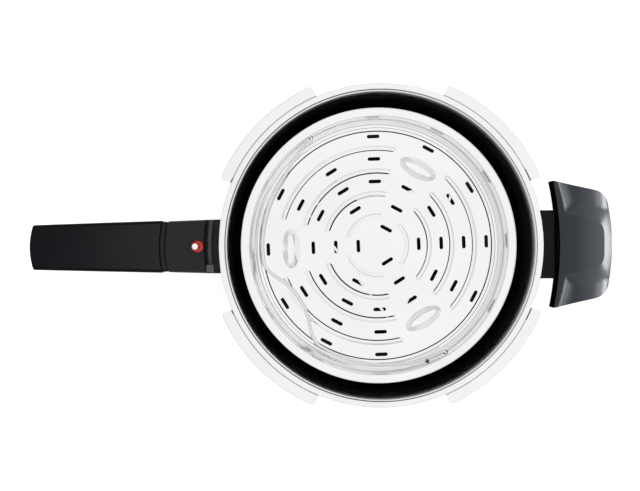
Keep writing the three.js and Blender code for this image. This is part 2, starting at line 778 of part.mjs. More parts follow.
// Section of the helper grip: a raised tongue along the middle of the top and hollowed flanks.
function sideRing(x, halfWidth, tongueHalf, drop, fall, bow) {
  const top = sideTop - drop;
  const low = sideBottom + drop / 2;
  const outline = [
    [halfWidth, top - fall - 3],
    [halfWidth - 0.8, top - fall - 1],
    [halfWidth - 2.5, top - fall],
    [(halfWidth + tongueHalf) / 2, top - fall],
    [tongueHalf + 3, top - 0.8 * fall],
    [tongueHalf + 1, top - 0.2 * fall],
    [tongueHalf - 1, top],
    [0, top],
  ];
  const mirrored = outline.slice(0, -1).reverse().map(([y, z]) => [-y, z]);
  const under = [
    [-halfWidth, low + 4],
    [1.2 - halfWidth, low + 1.2],
    [4 - halfWidth, low],
    [halfWidth - 4, low],
    [halfWidth - 1.2, low + 1.2],
    [halfWidth, low + 4],
  ];
  const section = [...outline, ...mirrored, ...under];
  return section.map(([y, z]) => new THREE.Vector3(x - bow * (y / halfWidth) ** 2, y, z));
}

// Wide helper grip: a strip along its hollow inner face, a tongue, and an end that slopes away.
function sideGrip() {
  const stations = [
    [-2 * sideInnerBow, 0, 0, 0],
    [sideStrip, 0, 0, sideStripBow],
    [sideStrip + 1, 0, 0.5, sideStripBow],
    [sideStrip + 4, 0, 1, 0.8 * sideStripBow],
    [sideLength - 2 * sideEndSlope, 0, 1, 0],
    [sideLength - sideEndSlope, 0, 0.8, 0.6 * sideEndBow],
    [sideLength - 0.8 * sideEndSlope, 0.1, 0.7, 0.6 * sideEndBow],
    [sideLength - 0.3 * sideEndSlope, 0.7, 0.3, 0.8 * sideEndBow],
    [sideLength - 0.1 * sideEndSlope, 1, 0.1, sideEndBow],
    [sideLength, 1.6, 0, sideEndBow],
  ];
  const rings = stations.map(([out, drop, fall, bow]) => {
    const along = Math.max(0, out / sideLength);
    const toEnd = sideLength - out;
    const round = toEnd < sideCorner ? sideCorner - Math.sqrt(sideCorner ** 2 - (sideCorner - toEnd) ** 2) : 0;
    const half = sideHalfWidth - sideTaper * along - round;
    const tongue = sideTongueHalfWidth + (sideTongueEndHalfWidth - sideTongueHalfWidth) * along;
    return sideRing(sideInner + out, half, tongue, drop * sideEndDrop, fall * sideFlankDrop, bow);
  });
  let body = loft(rings).subtract(sideHollow(0));
  body = body.subtract(bracketRoom(sideBracketMidZ, sideTongueWidth, sideInner + sideTongueInGrip));
  const [x, seat] = sideScrewPlace();
  for (const y of sideScrewYs()) {
    body = body.subtract(screwRoom(x, y, sideBottom, seat, sideBracketMidZ));
  }
  return node("side_grip", body);
}

function sideScrewYs() {
  return [-sideScrewPitch / 2, sideScrewPitch / 2];
}

function sideScrewPlace() {
  const x = sideInner + sideTongueInGrip - sideScrewFromTongueEnd;
  return [x, sideBracketMidZ - tongueThickness / 2 - gap - screwFloor - washerThickness - gap];
}

function sideHandle() {
  const group = new THREE.Group();
  group.name = "side_handle";
  const [x, seat] = sideScrewPlace();
  const tongueEnd = sideInner + sideTongueInGrip;
  group.add(bracket("side_bracket", sideBracketMidZ, sideTongueWidth, tongueEnd, x, sideScrewYs()));
  group.add(sideNeck(), sideGrip());
  sideScrewYs().forEach((y, i) => {
    const side = ["right", "left"][i];
    group.add(screw("side_screw_" + side, x, y, seat, sideBracketMidZ + 1));
    group.add(washer("side_washer_" + side, x, y, seat));
  });
  return group;
}

const cooker = new THREE.Group();
cooker.name = "pressure_cooker";
cooker.add(potShell(), baseCore(), baseCap());
cooker.add(steamerBasket(), basketBail(), trivet());
cooker.add(longHandle(), sideHandle());

export default cooker;
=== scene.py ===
"""Looks of the pressure cooker pan: polished steel pan and steamer basket, black handles, studio light."""
import math

import bmesh
import bpy
from mathutils import Matrix, Vector
from mathutils.geometry import delaunay_2d_cdt

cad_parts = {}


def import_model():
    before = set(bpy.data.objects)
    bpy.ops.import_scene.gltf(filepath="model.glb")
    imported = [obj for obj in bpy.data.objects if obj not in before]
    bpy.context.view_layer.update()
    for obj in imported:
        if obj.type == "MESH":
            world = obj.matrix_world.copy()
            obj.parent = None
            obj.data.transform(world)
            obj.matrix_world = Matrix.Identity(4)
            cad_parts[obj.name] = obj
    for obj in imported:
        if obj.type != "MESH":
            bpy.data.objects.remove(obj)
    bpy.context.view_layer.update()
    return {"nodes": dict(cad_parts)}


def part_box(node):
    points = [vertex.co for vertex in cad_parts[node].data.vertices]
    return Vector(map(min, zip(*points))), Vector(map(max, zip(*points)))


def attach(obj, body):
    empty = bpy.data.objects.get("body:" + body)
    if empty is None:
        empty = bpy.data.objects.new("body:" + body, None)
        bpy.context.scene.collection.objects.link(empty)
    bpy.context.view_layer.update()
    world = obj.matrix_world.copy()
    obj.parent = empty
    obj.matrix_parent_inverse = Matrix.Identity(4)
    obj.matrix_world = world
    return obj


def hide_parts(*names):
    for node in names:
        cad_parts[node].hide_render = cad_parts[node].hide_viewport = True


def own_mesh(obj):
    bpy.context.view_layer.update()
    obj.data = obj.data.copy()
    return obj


MM = 0.001

# Room for a face's middle or a point to be off a surface, in millimetres
NEAR = 0.1
TINY = 0.01

# Sizes in millimetres, where the main ones are the same as the solids'
PAN_RADIUS = 110.0
PAN_SHEET = 1.2
PAN_CORNER = 14.0
PAN_FLOOR_Z = 8.0
PAN_STEPS = 256
PAN_ROW_LOW_Z = 40.0
PAN_ROW_HIGH_Z = 110.0
LOWER_WALL_TOP_Z = 84.0
MOUTH_LOW_Z = 92.0
MOUTH_HIGH_Z = 96.0
GRADE_LOW_Z = 98.0
GRADE_HIGH_Z = 130.0
RIM_Z = 132.0
RIM_RADIUS = 116.5
RIM_BEND = 1.2
RIM_MOUTH = 0.6
RIM_FLAT = 1.5
RIM_BAND = 2.0
RIM_ROUND = 0.9
RIM_GROOVE = 0.8
LUG_ANGLES = (45.0, 135.0, 225.0, 315.0)
LUG_STEPS = 48
LUG_RADIUS = 124.9
LUG_HALF_SPAN = 22.0
LUG_DROP = 0.7
LUG_LIP = 3.0
LUG_CORNER = 3.0
LUG_BEND = 0.6
LUG_SEAM = 0.05
LUG_GROOVE = 0.6
# Lengths of the painted shade at the ends of the lug grooves, on the right and on the left
LUG_END_SHADE = 4.2
SMALL_LUG_END_SHADE = 1.6

BASKET_STEPS = 192
BASKET_SHEET = 0.8
BASKET_FLANGE_Z = 87.0
BASKET_FLOOR_Z = 57.0
BASKET_FLOOR_RADIUS = 87.3
BASKET_CORNER = 5.5
CREASE_SHY = 0.4
CREASE_WIDTH = 0.8
CREASE_DEPTH = 0.7
CREASE_LIP = 0.15
LEDGE_RISE = 0.6
STEP_RADIUS = 89.8
STEP_WIDTH = 0.25
STEP_RISE = 0.4
WALL_BEND = 1.4
WALL_ROWS_Z = (66.0, 75.0)
WALL_TOP_ROW = 2.0
BASKET_DRAFT = math.radians(8.0)
FLANGE_WIDTH = 6.6
FLANGE_BEND = 1.0
FLANGE_EASE = 0.4
FLANGE_SET = 0.1
FLANGE_INNER = 2.6
FLANGE_OUTER = 1.4
FLANGE_EDGE = 0.3
FLANGE_EDGE_DROP = 0.2
PATTERN_TURN = 1.8
FOOT_ANGLES = (60, 180, 300)
SLOT_ANGLES = (
    FOOT_ANGLES,
    range(0, 360, 60),
    range(0, 360, 30),
    [a for a in range(0, 360, 30) if a not in FOOT_ANGLES],
    [a for a in range(0, 360, 30) if a not in (120, 300)],
)
SLOT_RINGS = len(SLOT_ANGLES)
SLOT_FIRST_RADIUS = 14.5
SLOT_EDGE = 3.9
SLOT_PITCH = (BASKET_FLOOR_RADIUS - SLOT_EDGE - SLOT_FIRST_RADIUS) / (SLOT_RINGS - 1)
SLOT_LENGTH = 9.5
SLOT_WIDTH = 2.5
SLOT_ROLL = ((0.7, 0.0), (0.35, 0.0), (0.15, -0.04), (0.0, -0.16))
RIB_WIDTH = 3.6
RIB_STEP = 0.4
RIB_CREST = 1.2
RIB_HEIGHT = 0.9
RIB_LIP = 0.72
RIB_POINT_GAP = 1.5
RIB_HALF_SPAN = 43.0
RIB_END = 1.4
RIB_SLITS = ((0.0, 0.34, 0.24, 0.07), (0.0, 0.65, 0.5, 0.18), (0.0, 0.6, 0.5, 0.36))
RIB_ROOM = 0.6
FOOT_LENGTH = 30.5
FOOT_WIDTH = 14.0
FOOT_DEPTH = 3.2
FOOT_WALL = 4.7
FOOT_TIP = 4.0
FOOT_SHIFT = 0.7
FOOT_POINTS = 64

WIRE_RADIUS = 1.2
WIRE_SIDES = 20
BAIL_DROP = 7.0
BAIL_HUMP_DEPTH = 15.4
BAIL_HUMP_HALF_SPAN = 26.0
BAIL_HUMP_SHAPE = 1.4
BAIL_HUMP_TURN = 2.0
BAIL_HEAD_RADIUS = 2.1
BAIL_TURN = 120.0 + PATTERN_TURN
BAIL_PLAY = 0.7
BAIL_STRAIGHT = 24.0
BAIL_BEND = ((0.6, 0.2, 0.0), (-0.2, 1.2, -0.2), (-0.5, 3.2, -0.7))
GAP = 0.3

# Holes for the bail: how far below its pivot, and half of their height
NEAR_HOLE = (1.0, 3.4)
FAR_HOLE = (3.6, 6.6)
SPARE_HOLE = (4.6, 5.0)
SPARE_HOLE_TURN = 9.2
SPARE_HOLE_HALF_WIDTH = 1.4
HOLE_CUT = 8.0
HOLE_SIDES = 32

HANDLE_TOP = 119.5
HANDLE_BOTTOM = 91.5
HANDLE_HALF_WIDTH = 19.5
GUARD_INNER = 111.5
GUARD_OUTER = 125.3
GUARD_STEP = 2.0
GUARD_RIDGE = 3.2
GUARD_EDGE = 2.0
GUARD_ROUNDS = (0.6, 0.7, 1.0)
GUARD_COLUMNS = 48
GUARD_GROOVE = 7.0
GUARD_FOOT = 127.8
GRIP_START = 156.9
GRIP_END = 254.3
GRIP_HALF_WIDTH = 19.0
GRIP_END_HALF_WIDTH = 16.3
GRIP_NECK = 2.8
GRIP_NECK_DROP = 0.9
GRIP_SHOULDER = 1.2
GRIP_STEPS = 30
GRIP_WAIST = 2.0
GRIP_CORNER = 2.6
GRIP_BOW = 2.4
GRIP_END_ROUND = 1.0
BUSH_STEPS = 48
BUSH_RADIUS = 4.2
BUSH_STEM = 3.6
BUSH_FOOT = 115.5
BUSH_SHIFT = 1.1
PIN_STEPS = 40
PIN_RADIUS = 2.25
PIN_STEM = 1.6
PIN_DOME = 0.6
BORE_DEPTH = 20.0

SIDE_TOP = 118.0
SIDE_BOTTOM = 93.0
SIDE_INNER = 130.4
SIDE_LENGTH = 38.8
SIDE_HALF_WIDTH = 46.2
SIDE_TAPER = 9.0
SIDE_CORNER = 9.5
SIDE_INNER_BOW = 4.8
SIDE_END_BOW = 1.6
SIDE_STRIP = 5.4
SIDE_TONGUE = 23.0
SIDE_TONGUE_END = 14.5
SIDE_CROWN = 3.0
SIDE_TONGUE_ROUND = 6.0
SIDE_FLANK_LEAN = 0.75
SIDE_FLANK_DROP = 3.8
SIDE_HOLLOW_RUN = 13.0
SIDE_END_RUN = 6.4
SIDE_END_LEAN = 0.5
SIDE_END_CURVE = 0.008
SIDE_SOFT_RUN = 15.0
SIDE_SOFT_DROP = 4.8
SIDE_BLEND = 1.2
SIDE_EDGE = 0.9
SIDE_TOP_LEAN = 0.3
NECK_GROOVE = 1.5
NECK_CUT = 200.0
NECK_EDGE = 0.8
SIDE_ROWS = 90
SIDE_COLUMNS = 120

# Photograph: camera straight above, slightly turned about its own axis
CAMERA_X = -43.8
CAMERA_Y = 0.2
CAMERA_ABOVE_RIM = 1100.0
CAMERA_LENS = 86.4
CAMERA_ROLL = -0.37

# Studio light, where 1 shows as white
CEILING_LEVEL = 1.05
WALL_LEVEL = 0.9
WALL_FOOT = 0.2
DARK_LEVEL = 0.12
DARK_TOP = 0.1
SIDE_LEVELS = ((-1.0, 0.9), (-0.3, 0.94), (0.0, 1.0), (0.2, 1.02), (1.0, 1.1))
FLOOR_GLOW = 0.45
FLOOR_SHADE = 0.86
FLOOR_SIZE = 8.0
HELPER_PLACE = (0.15, 0.0, 0.12)
GRIP_PLACE = (-0.2, 0.0, 0.12)

# Lamps: place, width and length in metres, and power
HELPER_LAMPS = (
    ("right_box", (1.6, 0.0, 0.46), (1.4, 0.42), 42.0),
    ("right_glow", (1.35, 0.0, 0.95), (1.0, 0.5), 6.0),
    ("flank_glow", (0.25, -0.9, 1.1), (0.8, 0.4), 1.6),
    ("flank_glow", (0.25, 0.9, 1.1), (0.8, 0.4), 1.6),
)
GRIP_LAMP = ("grip_top", (-0.25, 0.0, 1.6), (1.0, 0.3), 3.0)

# Materials: the middle range of a noise, scales of the patterns, and how deep they are in metres
NOISE_LOW = 0.3
NOISE_HIGH = 0.7
RING_SCALE = 2600.0
RING_DEPTH = 0.00002
GRAIN_SCALE = 2200.0
GRAIN_DEPTH = 0.00006

# Steels: colour, roughness and strength of the polishing rings
STEELS = {
    "pan_polish": ((0.86, 0.86, 0.86), 0.08, 0.04),
    # Lower wall inside the pan: darker, rougher steel, partly a satin finish and partly painted shade for
    # the gap under the basket
    "lower_inside": ((0.6, 0.6, 0.6), 0.14, 0.05),
    # Near-black steel that paints shade: in the basket's fold and step, on the cut edges of its slots and
    # flange, on the pan's floor and at the lug grooves' ends
    "painted_shade_steel": ((0.06, 0.06, 0.06), 0.42, 0.1),
    "brushed_outside": ((0.56, 0.56, 0.565), 0.26, 0.35),
    "basket_polish": ((0.87, 0.87, 0.87), 0.06, 0.05),
    "wall_satin": ((0.93, 0.93, 0.93), 0.13, 0.03),
    "wire_polish": ((0.76, 0.76, 0.76), 0.14, 0.03),
    "pin_polish": ((0.92, 0.91, 0.9), 0.12, 0.03),
}

# Upper wall inside the pan: colour, and roughness low and high
UPPER_STEEL = ((0.86, 0.86, 0.86), 0.08, 0.2)

# Plain metals: colour and roughness
PLAIN_METALS = {
    "plain_steel": ((0.55, 0.55, 0.56), 0.32),
    "stop_steel": ((0.1, 0.1, 0.105), 0.35),
    "core_aluminium": ((0.75, 0.75, 0.76), 0.4),
}

# Moulded plastics: colour, roughness, shine and grain
PLASTICS = {
    "handle_black": ((0.003, 0.0034, 0.004), 0.3, 0.12, 0.1),
    "grip_black": ((0.0009, 0.0016, 0.003), 0.18, 0.08, 0.06),
    "collar_black": ((0.0105, 0.012, 0.0142), 0.34, 0.2, 0.12),
    # A grained matte black that paints shade on the helper grip's upright and lower faces and in the neck's
    # groove
    "grained_shade_black": ((0.0035, 0.0038, 0.0045), 0.6, 0.0, 0.2),
}

# Plastics with painted light: colour, lighter colour of the painted light, shine, roughness, and an axis
# with where the painted light starts and is full
# Height of the painted highlight along the guard's ridge
GUARD_HIGHLIGHT_Z = HANDLE_TOP - GUARD_STEP / 2
SHEEN_PAINTED_PLASTICS = {
    # The guard's top ridge is painted lighter as a highlight
    "guard_black": (
        (0.0095, 0.0105, 0.012), (0.05, 0.053, 0.058), 0.2, 0.4,
        "Z", GUARD_HIGHLIGHT_Z - 0.4, GUARD_HIGHLIGHT_Z + 0.4,
    ),
    # The helper grip is painted lighter towards its outer end as a sheen
    "helper_black": (
        (0.0085, 0.0115, 0.0155), (0.042, 0.045, 0.053), 0.3, 0.24,
        "X", SIDE_INNER + 11.0, SIDE_INNER + 32.0,
    ),
}

# The bush's two shades of red
BUSH_REDS = ((0.52, 0.006, 0.003), (0.62, 0.012, 0.006))

# Materials of the solids that show as they are, and of the pieces by the numbers of their faces
NODE_LOOKS = {
    "base_core": "core_aluminium", "base_cap": "brushed_outside", "trivet": "basket_polish",
    "lid_stop": "stop_steel", "handle_collar": "collar_black",
}
PLAIN_NODES = (
    "handle_bracket", "side_bracket", "lock_clip", "handle_screw", "handle_washer",
    "side_screw_left", "side_screw_right", "side_washer_left", "side_washer_right",
)
PIECE_LOOKS = {
    "pan": ("pan_polish", "lower_inside", "brushed_outside", "upper_inside", "painted_shade_steel"),
    "basket": ("basket_polish", "painted_shade_steel", "wall_satin", "brushed_outside"),
    "bail": ("wire_polish",), "pin": ("pin_polish",), "spring": ("plain_steel",),
    "guard": ("guard_black",), "grip": ("grip_black",), "bush": ("bush_red",),
    "helper": ("helper_black", "grained_shade_black"), "neck": ("handle_black", "grained_shade_black"),
}

# Round edges of the solids that show as they are
EDGE_WIDTHS = {
    "handle_collar": 0.5, "lid_stop": 1.0, "trivet": 0.4, "base_cap": 0.4,
    "handle_screw": 0.2, "side_screw_left": 0.2, "side_screw_right": 0.2,
}


def polar(radius, degrees):
    angle = math.radians(degrees)
    return radius * math.cos(angle), radius * math.sin(angle)


def arc(cx, cz, radius, start, end, steps):
    """Points of an arc in degrees, both ends included."""
    turn = (end - start) / steps
    return [(cx + dx, cz + dz) for dx, dz in (polar(radius, start + turn * i) for i in range(steps + 1))]


def circle(radius, steps):
    return [polar(radius, 360.0 * i / steps) for i in range(steps)]


def corner_shy(to_end, corner):
    """How far a round corner draws an edge in at a distance from the end."""
    into = min(max(corner - to_end, 0.0), corner)
    return corner - math.sqrt(corner ** 2 - into ** 2)


def make_object(name, skin, sharp=35.0):
    """A smooth-shaded mesh object from a skin's points in millimetres."""
    mesh = bpy.data.meshes.new(name)
    mesh.from_pydata([(x * MM, y * MM, z * MM) for x, y, z in skin.verts], [], skin.faces)
    mesh.validate()
    mesh.shade_smooth()
    mesh.set_sharp_from_angle(angle=math.radians(sharp))
    return add_object(name, mesh)


def add_object(name, data):
    obj = bpy.data.objects.new(name, data)
    bpy.context.scene.collection.objects.link(obj)
    return obj


def weight_normals(obj):
    modifier = obj.modifiers.new("even_normals", "WEIGHTED_NORMAL")
    modifier.keep_sharp = True
    modifier.weight = 90


def round_edges(obj, width, segments=3, angle=30.0):
    """Small round edges on a piece, without changing its own points."""
    bevel = obj.modifiers.new("round_edges", "BEVEL")
    bevel.width = width * MM
    bevel.segments = segments
    bevel.limit_method = "ANGLE"
    bevel.angle_limit = math.radians(angle)
    bevel.harden_normals = True
    weight_normals(obj)


class Skin:
    """Points and faces collected for one piece."""

    def __init__(self):
        self.verts = []
        self.faces = []

    def add_ring(self, points):
        first = len(self.verts)
        self.verts.extend(points)
        return list(range(first, first + len(points)))

    def bridge(self, low, high, closed=True):
        count = len(low)
        for j in range(count if closed else count - 1):
            k = (j + 1) % count
            self.faces.append((low[j], low[k], high[k], high[j]))

    def cap(self, ring, flip=False):
        self.faces.append(tuple(reversed(ring)) if flip else tuple(ring))

    def loft(self, rings, flip=False):
        """Sides between neighbouring rings and a cap at each end."""
        for low, high in zip(rings, rings[1:]):
            if flip:
                low, high = high, low
            self.bridge(low, high)
        self.cap(rings[0], not flip)
        self.cap(rings[-1], flip)


def turned(profile, steps, closed=False):
    """A piece turned about Z from a profile that ends on the axis or, where closed, runs round."""
    skin = Skin()
    rings = []
    for radius, z in profile:
        if radius < 1e-6:
            rings.append(skin.add_ring([(0.0, 0.0, z)]))
        else:
            rings.append(skin.add_ring([(x, y, z) for x, y in circle(radius, steps)]))
    for low, high in zip(rings, rings[1:]):
        if len(low) == 1:
            for j in range(steps):
                skin.faces.append((low[0], high[j], high[(j + 1) % steps])[::-1])
        elif len(high) == 1:
            for j in range(steps):
                skin.faces.append((low[j], low[(j + 1) % steps], high[0]))
        else:
            skin.bridge(low, high)
    if closed:
        skin.bridge(rings[-1], rings[0])
    return skin


def tube(skin, points, radius, sides):
    """A round wire along points, with flat ends."""
    path = [Vector(p) for p in points]
    normal = Vector((0.0, 0.0, 1.0))
    rings = []
    for i, point in enumerate(path):
        ahead = path[min(i + 1, len(path) - 1)] - path[max(i - 1, 0)]
        ahead.normalize()
        side = ahead.cross(normal).normalized()
        up = side.cross(ahead).normalized()
        ring = [tuple(point + side * c + up * s) for c, s in circle(radius, sides)]
        rings.append(skin.add_ring(ring))
    skin.loft(rings)


# Pan


def pan_profile():
    """Half section of the pan, from the middle of its underside round the rim to its floor."""
    under = RIM_Z - PAN_SHEET
    outer = PAN_RADIUS + PAN_SHEET
    corner = PAN_RADIUS - PAN_CORNER
    edge = PAN_SHEET - RIM_ROUND
    points = [(0.0, PAN_FLOOR_Z - PAN_SHEET), (corner * 0.5, PAN_FLOOR_Z - PAN_SHEET)]
    points += arc(corner, PAN_FLOOR_Z + PAN_CORNER, PAN_CORNER + PAN_SHEET, -90, 0, 16)
    points += [(outer, PAN_ROW_LOW_Z), (outer, PAN_ROW_HIGH_Z)]
    points += arc(outer + RIM_BEND, under - RIM_BEND, RIM_BEND, 180, 90, 6)
    points += [(RIM_RADIUS - edge, under)]
    points += arc(RIM_RADIUS - edge, under + edge, edge, -90, 0, 3)
    points += arc(RIM_RADIUS - RIM_ROUND, RIM_Z - RIM_ROUND, RIM_ROUND, 0, 90, 8)
    flat = PAN_RADIUS + RIM_FLAT
    bend = RIM_FLAT - RIM_MOUTH
    points += [(flat + RIM_BAND, RIM_Z), (flat + RIM_GROOVE, RIM_Z)]
    points += arc(flat, RIM_Z - RIM_GROOVE - bend, bend, 90, 180, 12)
    points += [(PAN_RADIUS + RIM_MOUTH, z) for z in (PAN_ROW_HIGH_Z, MOUTH_HIGH_Z)]
    points += [(PAN_RADIUS, z) for z in (MOUTH_LOW_Z, LOWER_WALL_TOP_Z, PAN_ROW_LOW_Z)]
    points += arc(corner, PAN_FLOOR_Z + PAN_CORNER, PAN_CORNER, 0, -90, 16)
    points += [(corner * 0.5, PAN_FLOOR_Z), (0.0, PAN_FLOOR_Z)]
    return points


def lug_outline(outer):
    """Section of a lug: groove at the rim, flat top, rounded outer edge and a turned-down lip."""
    top = RIM_Z - LUG_DROP
    root = RIM_RADIUS - PAN_SHEET / 2
    inner = outer - PAN_SHEET
    under = top - PAN_SHEET
    points = [(root, under), (inner - LUG_BEND, under), (inner, under - LUG_BEND)]
    points += [(inner, top - LUG_LIP), (outer, top - LUG_LIP), (outer, under)]
    points += arc(inner, under, PAN_SHEET, 15, 90, 5)
    groove = RIM_RADIUS + LUG_SEAM
    points += [(groove + LUG_GROOVE, top), (groove, top - LUG_GROOVE), (root, top - LUG_GROOVE)]
    return points


def add_lug(skin, middle):
    """One lug round its middle angle, with rounded outer corners."""
    rings = []
    for i in range(LUG_STEPS + 1):
        angle = -LUG_HALF_SPAN * math.cos(math.pi * i / LUG_STEPS)
        to_end = math.radians(LUG_HALF_SPAN - abs(angle)) * LUG_RADIUS
        outline = lug_outline(LUG_RADIUS - corner_shy(to_end, LUG_CORNER))
        rings.append(skin.add_ring([(*polar(r, middle + angle), z) for r, z in outline]))
    skin.loft(rings, flip=True)


def build_pan():
    skin = turned(pan_profile(), PAN_STEPS)
    for middle in LUG_ANGLES:
        add_lug(skin, middle)
    pan = make_object("pan_body", skin)
    mark_pan(pan)
    weight_normals(pan)
    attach(pan, "pot")
    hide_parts("pot_shell")
    return pan


def mark_pan(pan):
    """Second material, darker steel that is partly painted shade, on the lower wall inside, third outside,
    fourth above, and fifth, painted shade, on the floor and at the lug grooves' ends.
    """
    for face in pan.data.polygons:
        x, y, z = (c / MM for c in face.center)
        radius = math.hypot(x, y)
        inside = radius < PAN_RADIUS + NEAR and PAN_FLOOR_Z - NEAR < z < LOWER_WALL_TOP_Z
        outside = radius > PAN_RADIUS + 0.75 * PAN_SHEET and z < RIM_Z - PAN_SHEET - 2 * RIM_BEND
        # The lower inside wall's darker steel is partly painted shade
        if inside:
            face.material_index = 1
        # Painted shade: the pan's floor and lower corner inside and the lug grooves' ends take the
        # near-black steel
        if inside and z < PAN_FLOOR_Z + PAN_CORNER / 2 or in_lug_end_shade(x, y, z):
            face.material_index = 4
        if outside or z < PAN_FLOOR_Z - NEAR:
            face.material_index = 2
        if radius < PAN_RADIUS + RIM_MOUTH + NEAR and LOWER_WALL_TOP_Z < z < GRADE_HIGH_Z:
            face.material_index = 3


def in_lug_end_shade(x, y, z):
    """Painted shade in the groove of a lug at its end next to a handle."""
    off = math.hypot(x, y) - RIM_RADIUS
    past_end = math.degrees(math.atan2(abs(y), abs(x))) - 45.0 + LUG_HALF_SPAN
    length = LUG_END_SHADE if x > 0 else SMALL_LUG_END_SHADE
    return 0 < off < LUG_GROOVE and 0 < RIM_Z - LUG_DROP - z < LUG_GROOVE and 0 < past_end < length


# Steamer basket


def slot_radius(ring):
    return SLOT_FIRST_RADIUS + SLOT_PITCH * ring


class FloorNet:
    """Lines of points on the pressed floor, each point with its height over the flat."""

    def __init__(self):
        self.points = []
        self.heights = []
        self.edges = []

    def add_line(self, line, heights):
        first = len(self.points)
        self.points.extend(Vector(p) for p in line)
        self.heights.extend(heights)
        self.edges.extend((first + i, first + i + 1) for i in range(len(line) - 1))

    def add_loop(self, loop, height):
        first = len(self.points)
        self.add_line(loop, [height] * len(loop))
        self.edges.append((len(self.points) - 1, first))

    def triangles(self):
        coords, _, faces, origin, _, _ = delaunay_2d_cdt(self.points, self.edges, [], 0, 1e-5)
        first = [o[0] for o in origin]
        return coords, [self.heights[o] for o in first], faces, first


def spun(points, degrees):
    turn = Matrix.Rotation(math.radians(degrees), 2)
    return [tuple(turn @ Vector(p)) for p in points]


def smooth_step(share):
    share = min(max(share, 0.0), 1.0)
    return share * share * (3 - 2 * share)


def add_slot(net, radius, degrees):
    """A tangential slot with a slightly rolled edge."""
    half = (SLOT_LENGTH - SLOT_WIDTH) / 2
    for grow, z in SLOT_ROLL:
        end = SLOT_WIDTH / 2 + grow
        points = arc(radius, half, end, 0, 180, 10) + arc(radius, -half, end, 180, 360, 10)
        net.add_loop(spun(points, degrees), z)


def rib_section(slit):
    """Offsets from a rib's middle line with heights: open or steep inside, a gentle fall outside."""
    inner = -RIB_WIDTH / 2
    crest = inner + RIB_STEP
    fall = RIB_WIDTH - RIB_STEP - RIB_CREST
    lip = RIB_LIP if slit else 0.0
    foot = inner - (slit or RIB_ROOM)
    rows = [(foot - RIB_ROOM, 0.0), (foot, 0.0), (inner, lip), (crest, RIB_HEIGHT)]
    for share in (0.0, 0.25, 0.5, 0.75, 1.0):
        rows.append((crest + RIB_CREST + fall * share, RIB_HEIGHT * (1 - smooth_step(share))))
    return rows + [(RIB_WIDTH / 2 + RIB_ROOM, 0.0)]


def rib_radius(i):
    return slot_radius(i) + SLOT_PITCH / 2


def add_rib(net, i, sector):
    radius = rib_radius(i)
    steps = int(radius * math.radians(2 * RIB_HALF_SPAN) / RIB_POINT_GAP)
    near = math.degrees(RIB_ROOM / radius)
    angles = [RIB_HALF_SPAN * (2 * k / steps - 1) for k in range(steps + 1)]
    angles = [angles[0] - near, *angles, angles[-1] + near]
    ends = [smooth_step(math.radians(RIB_HALF_SPAN - abs(a)) * radius / RIB_END) for a in angles]
    for offset, height in rib_section(RIB_SLITS[sector][i]):
        line = [polar(radius + offset, 120.0 * sector + a) for a in angles]
        net.add_line(line, [height * share for share in ends])


def add_foot(net, degrees):
    """An oval foot pressed down with a sloping wall all round, steeper at one tip."""
    towards = -1 if degrees < 90 else 1
    for share in (-0.1, 0.0, 0.1, 0.25, 0.4, 0.55, 0.7, 0.85, 0.95, 1.0):
        wide = FOOT_WIDTH / 2 - FOOT_WALL * share
        long = FOOT_LENGTH / 2 - FOOT_TIP * share
        shift = towards * FOOT_SHIFT * max(share, 0.0)
        points = [(slot_radius(3) + c * wide, s * long + shift) for c, s in circle(1.0, FOOT_POINTS)]
        net.add_loop(spun(points, degrees), -FOOT_DEPTH * max(share, 0.0))


def in_slot(point):
    for ring in range(SLOT_RINGS):
        if abs(point.length - slot_radius(ring)) > SLOT_WIDTH:
            continue
        for degrees in SLOT_ANGLES[ring]:
            x, y = spun([point], -degrees)[0]
            along = max(0.0, abs(y) - (SLOT_LENGTH - SLOT_WIDTH) / 2)
            if math.hypot(x - slot_radius(ring), along) < SLOT_WIDTH / 2 - 1e-4:
                return True
    return False


def in_slit(point):
    """Most ribs are lanced open along their inner edge."""
    angle = math.degrees(math.atan2(point.y, point.x))
    off = abs((angle + 60.0) % 120.0 - 60.0)
    slits = RIB_SLITS[int((angle + 60.0) % 360.0 // 120.0)]
    for i in range(SLOT_RINGS - 1):
        inner = rib_radius(i) - RIB_WIDTH / 2
        inside = inner - slits[i] < point.length < inner
        if inside and math.radians(RIB_HALF_SPAN - off) * inner > RIB_END:
            return True
    return False


def pressed_floor():
    """The floor's net: its edge first, then slots, ribs and feet."""
    net = FloorNet()
    for shy in (CREASE_SHY, CREASE_SHY + CREASE_WIDTH):
        net.add_loop(circle(BASKET_FLOOR_RADIUS - shy, BASKET_STEPS), 0.0)
    for ring in range(SLOT_RINGS):
        for degrees in SLOT_ANGLES[ring]:
            add_slot(net, slot_radius(ring), degrees)
    for i in range(SLOT_RINGS - 1):
        for sector in range(3):
            add_rib(net, i, sector)
    for degrees in FOOT_ANGLES:
        add_foot(net, degrees)
    return net


def wall_radius(z):
    """Inside radius of the basket's wall at a height."""
    foot = BASKET_FLOOR_RADIUS + BASKET_CORNER * math.cos(BASKET_DRAFT)
    foot_z = BASKET_FLOOR_Z + BASKET_CORNER * (1 - math.sin(BASKET_DRAFT))
    return foot + (z - foot_z) * math.tan(BASKET_DRAFT)


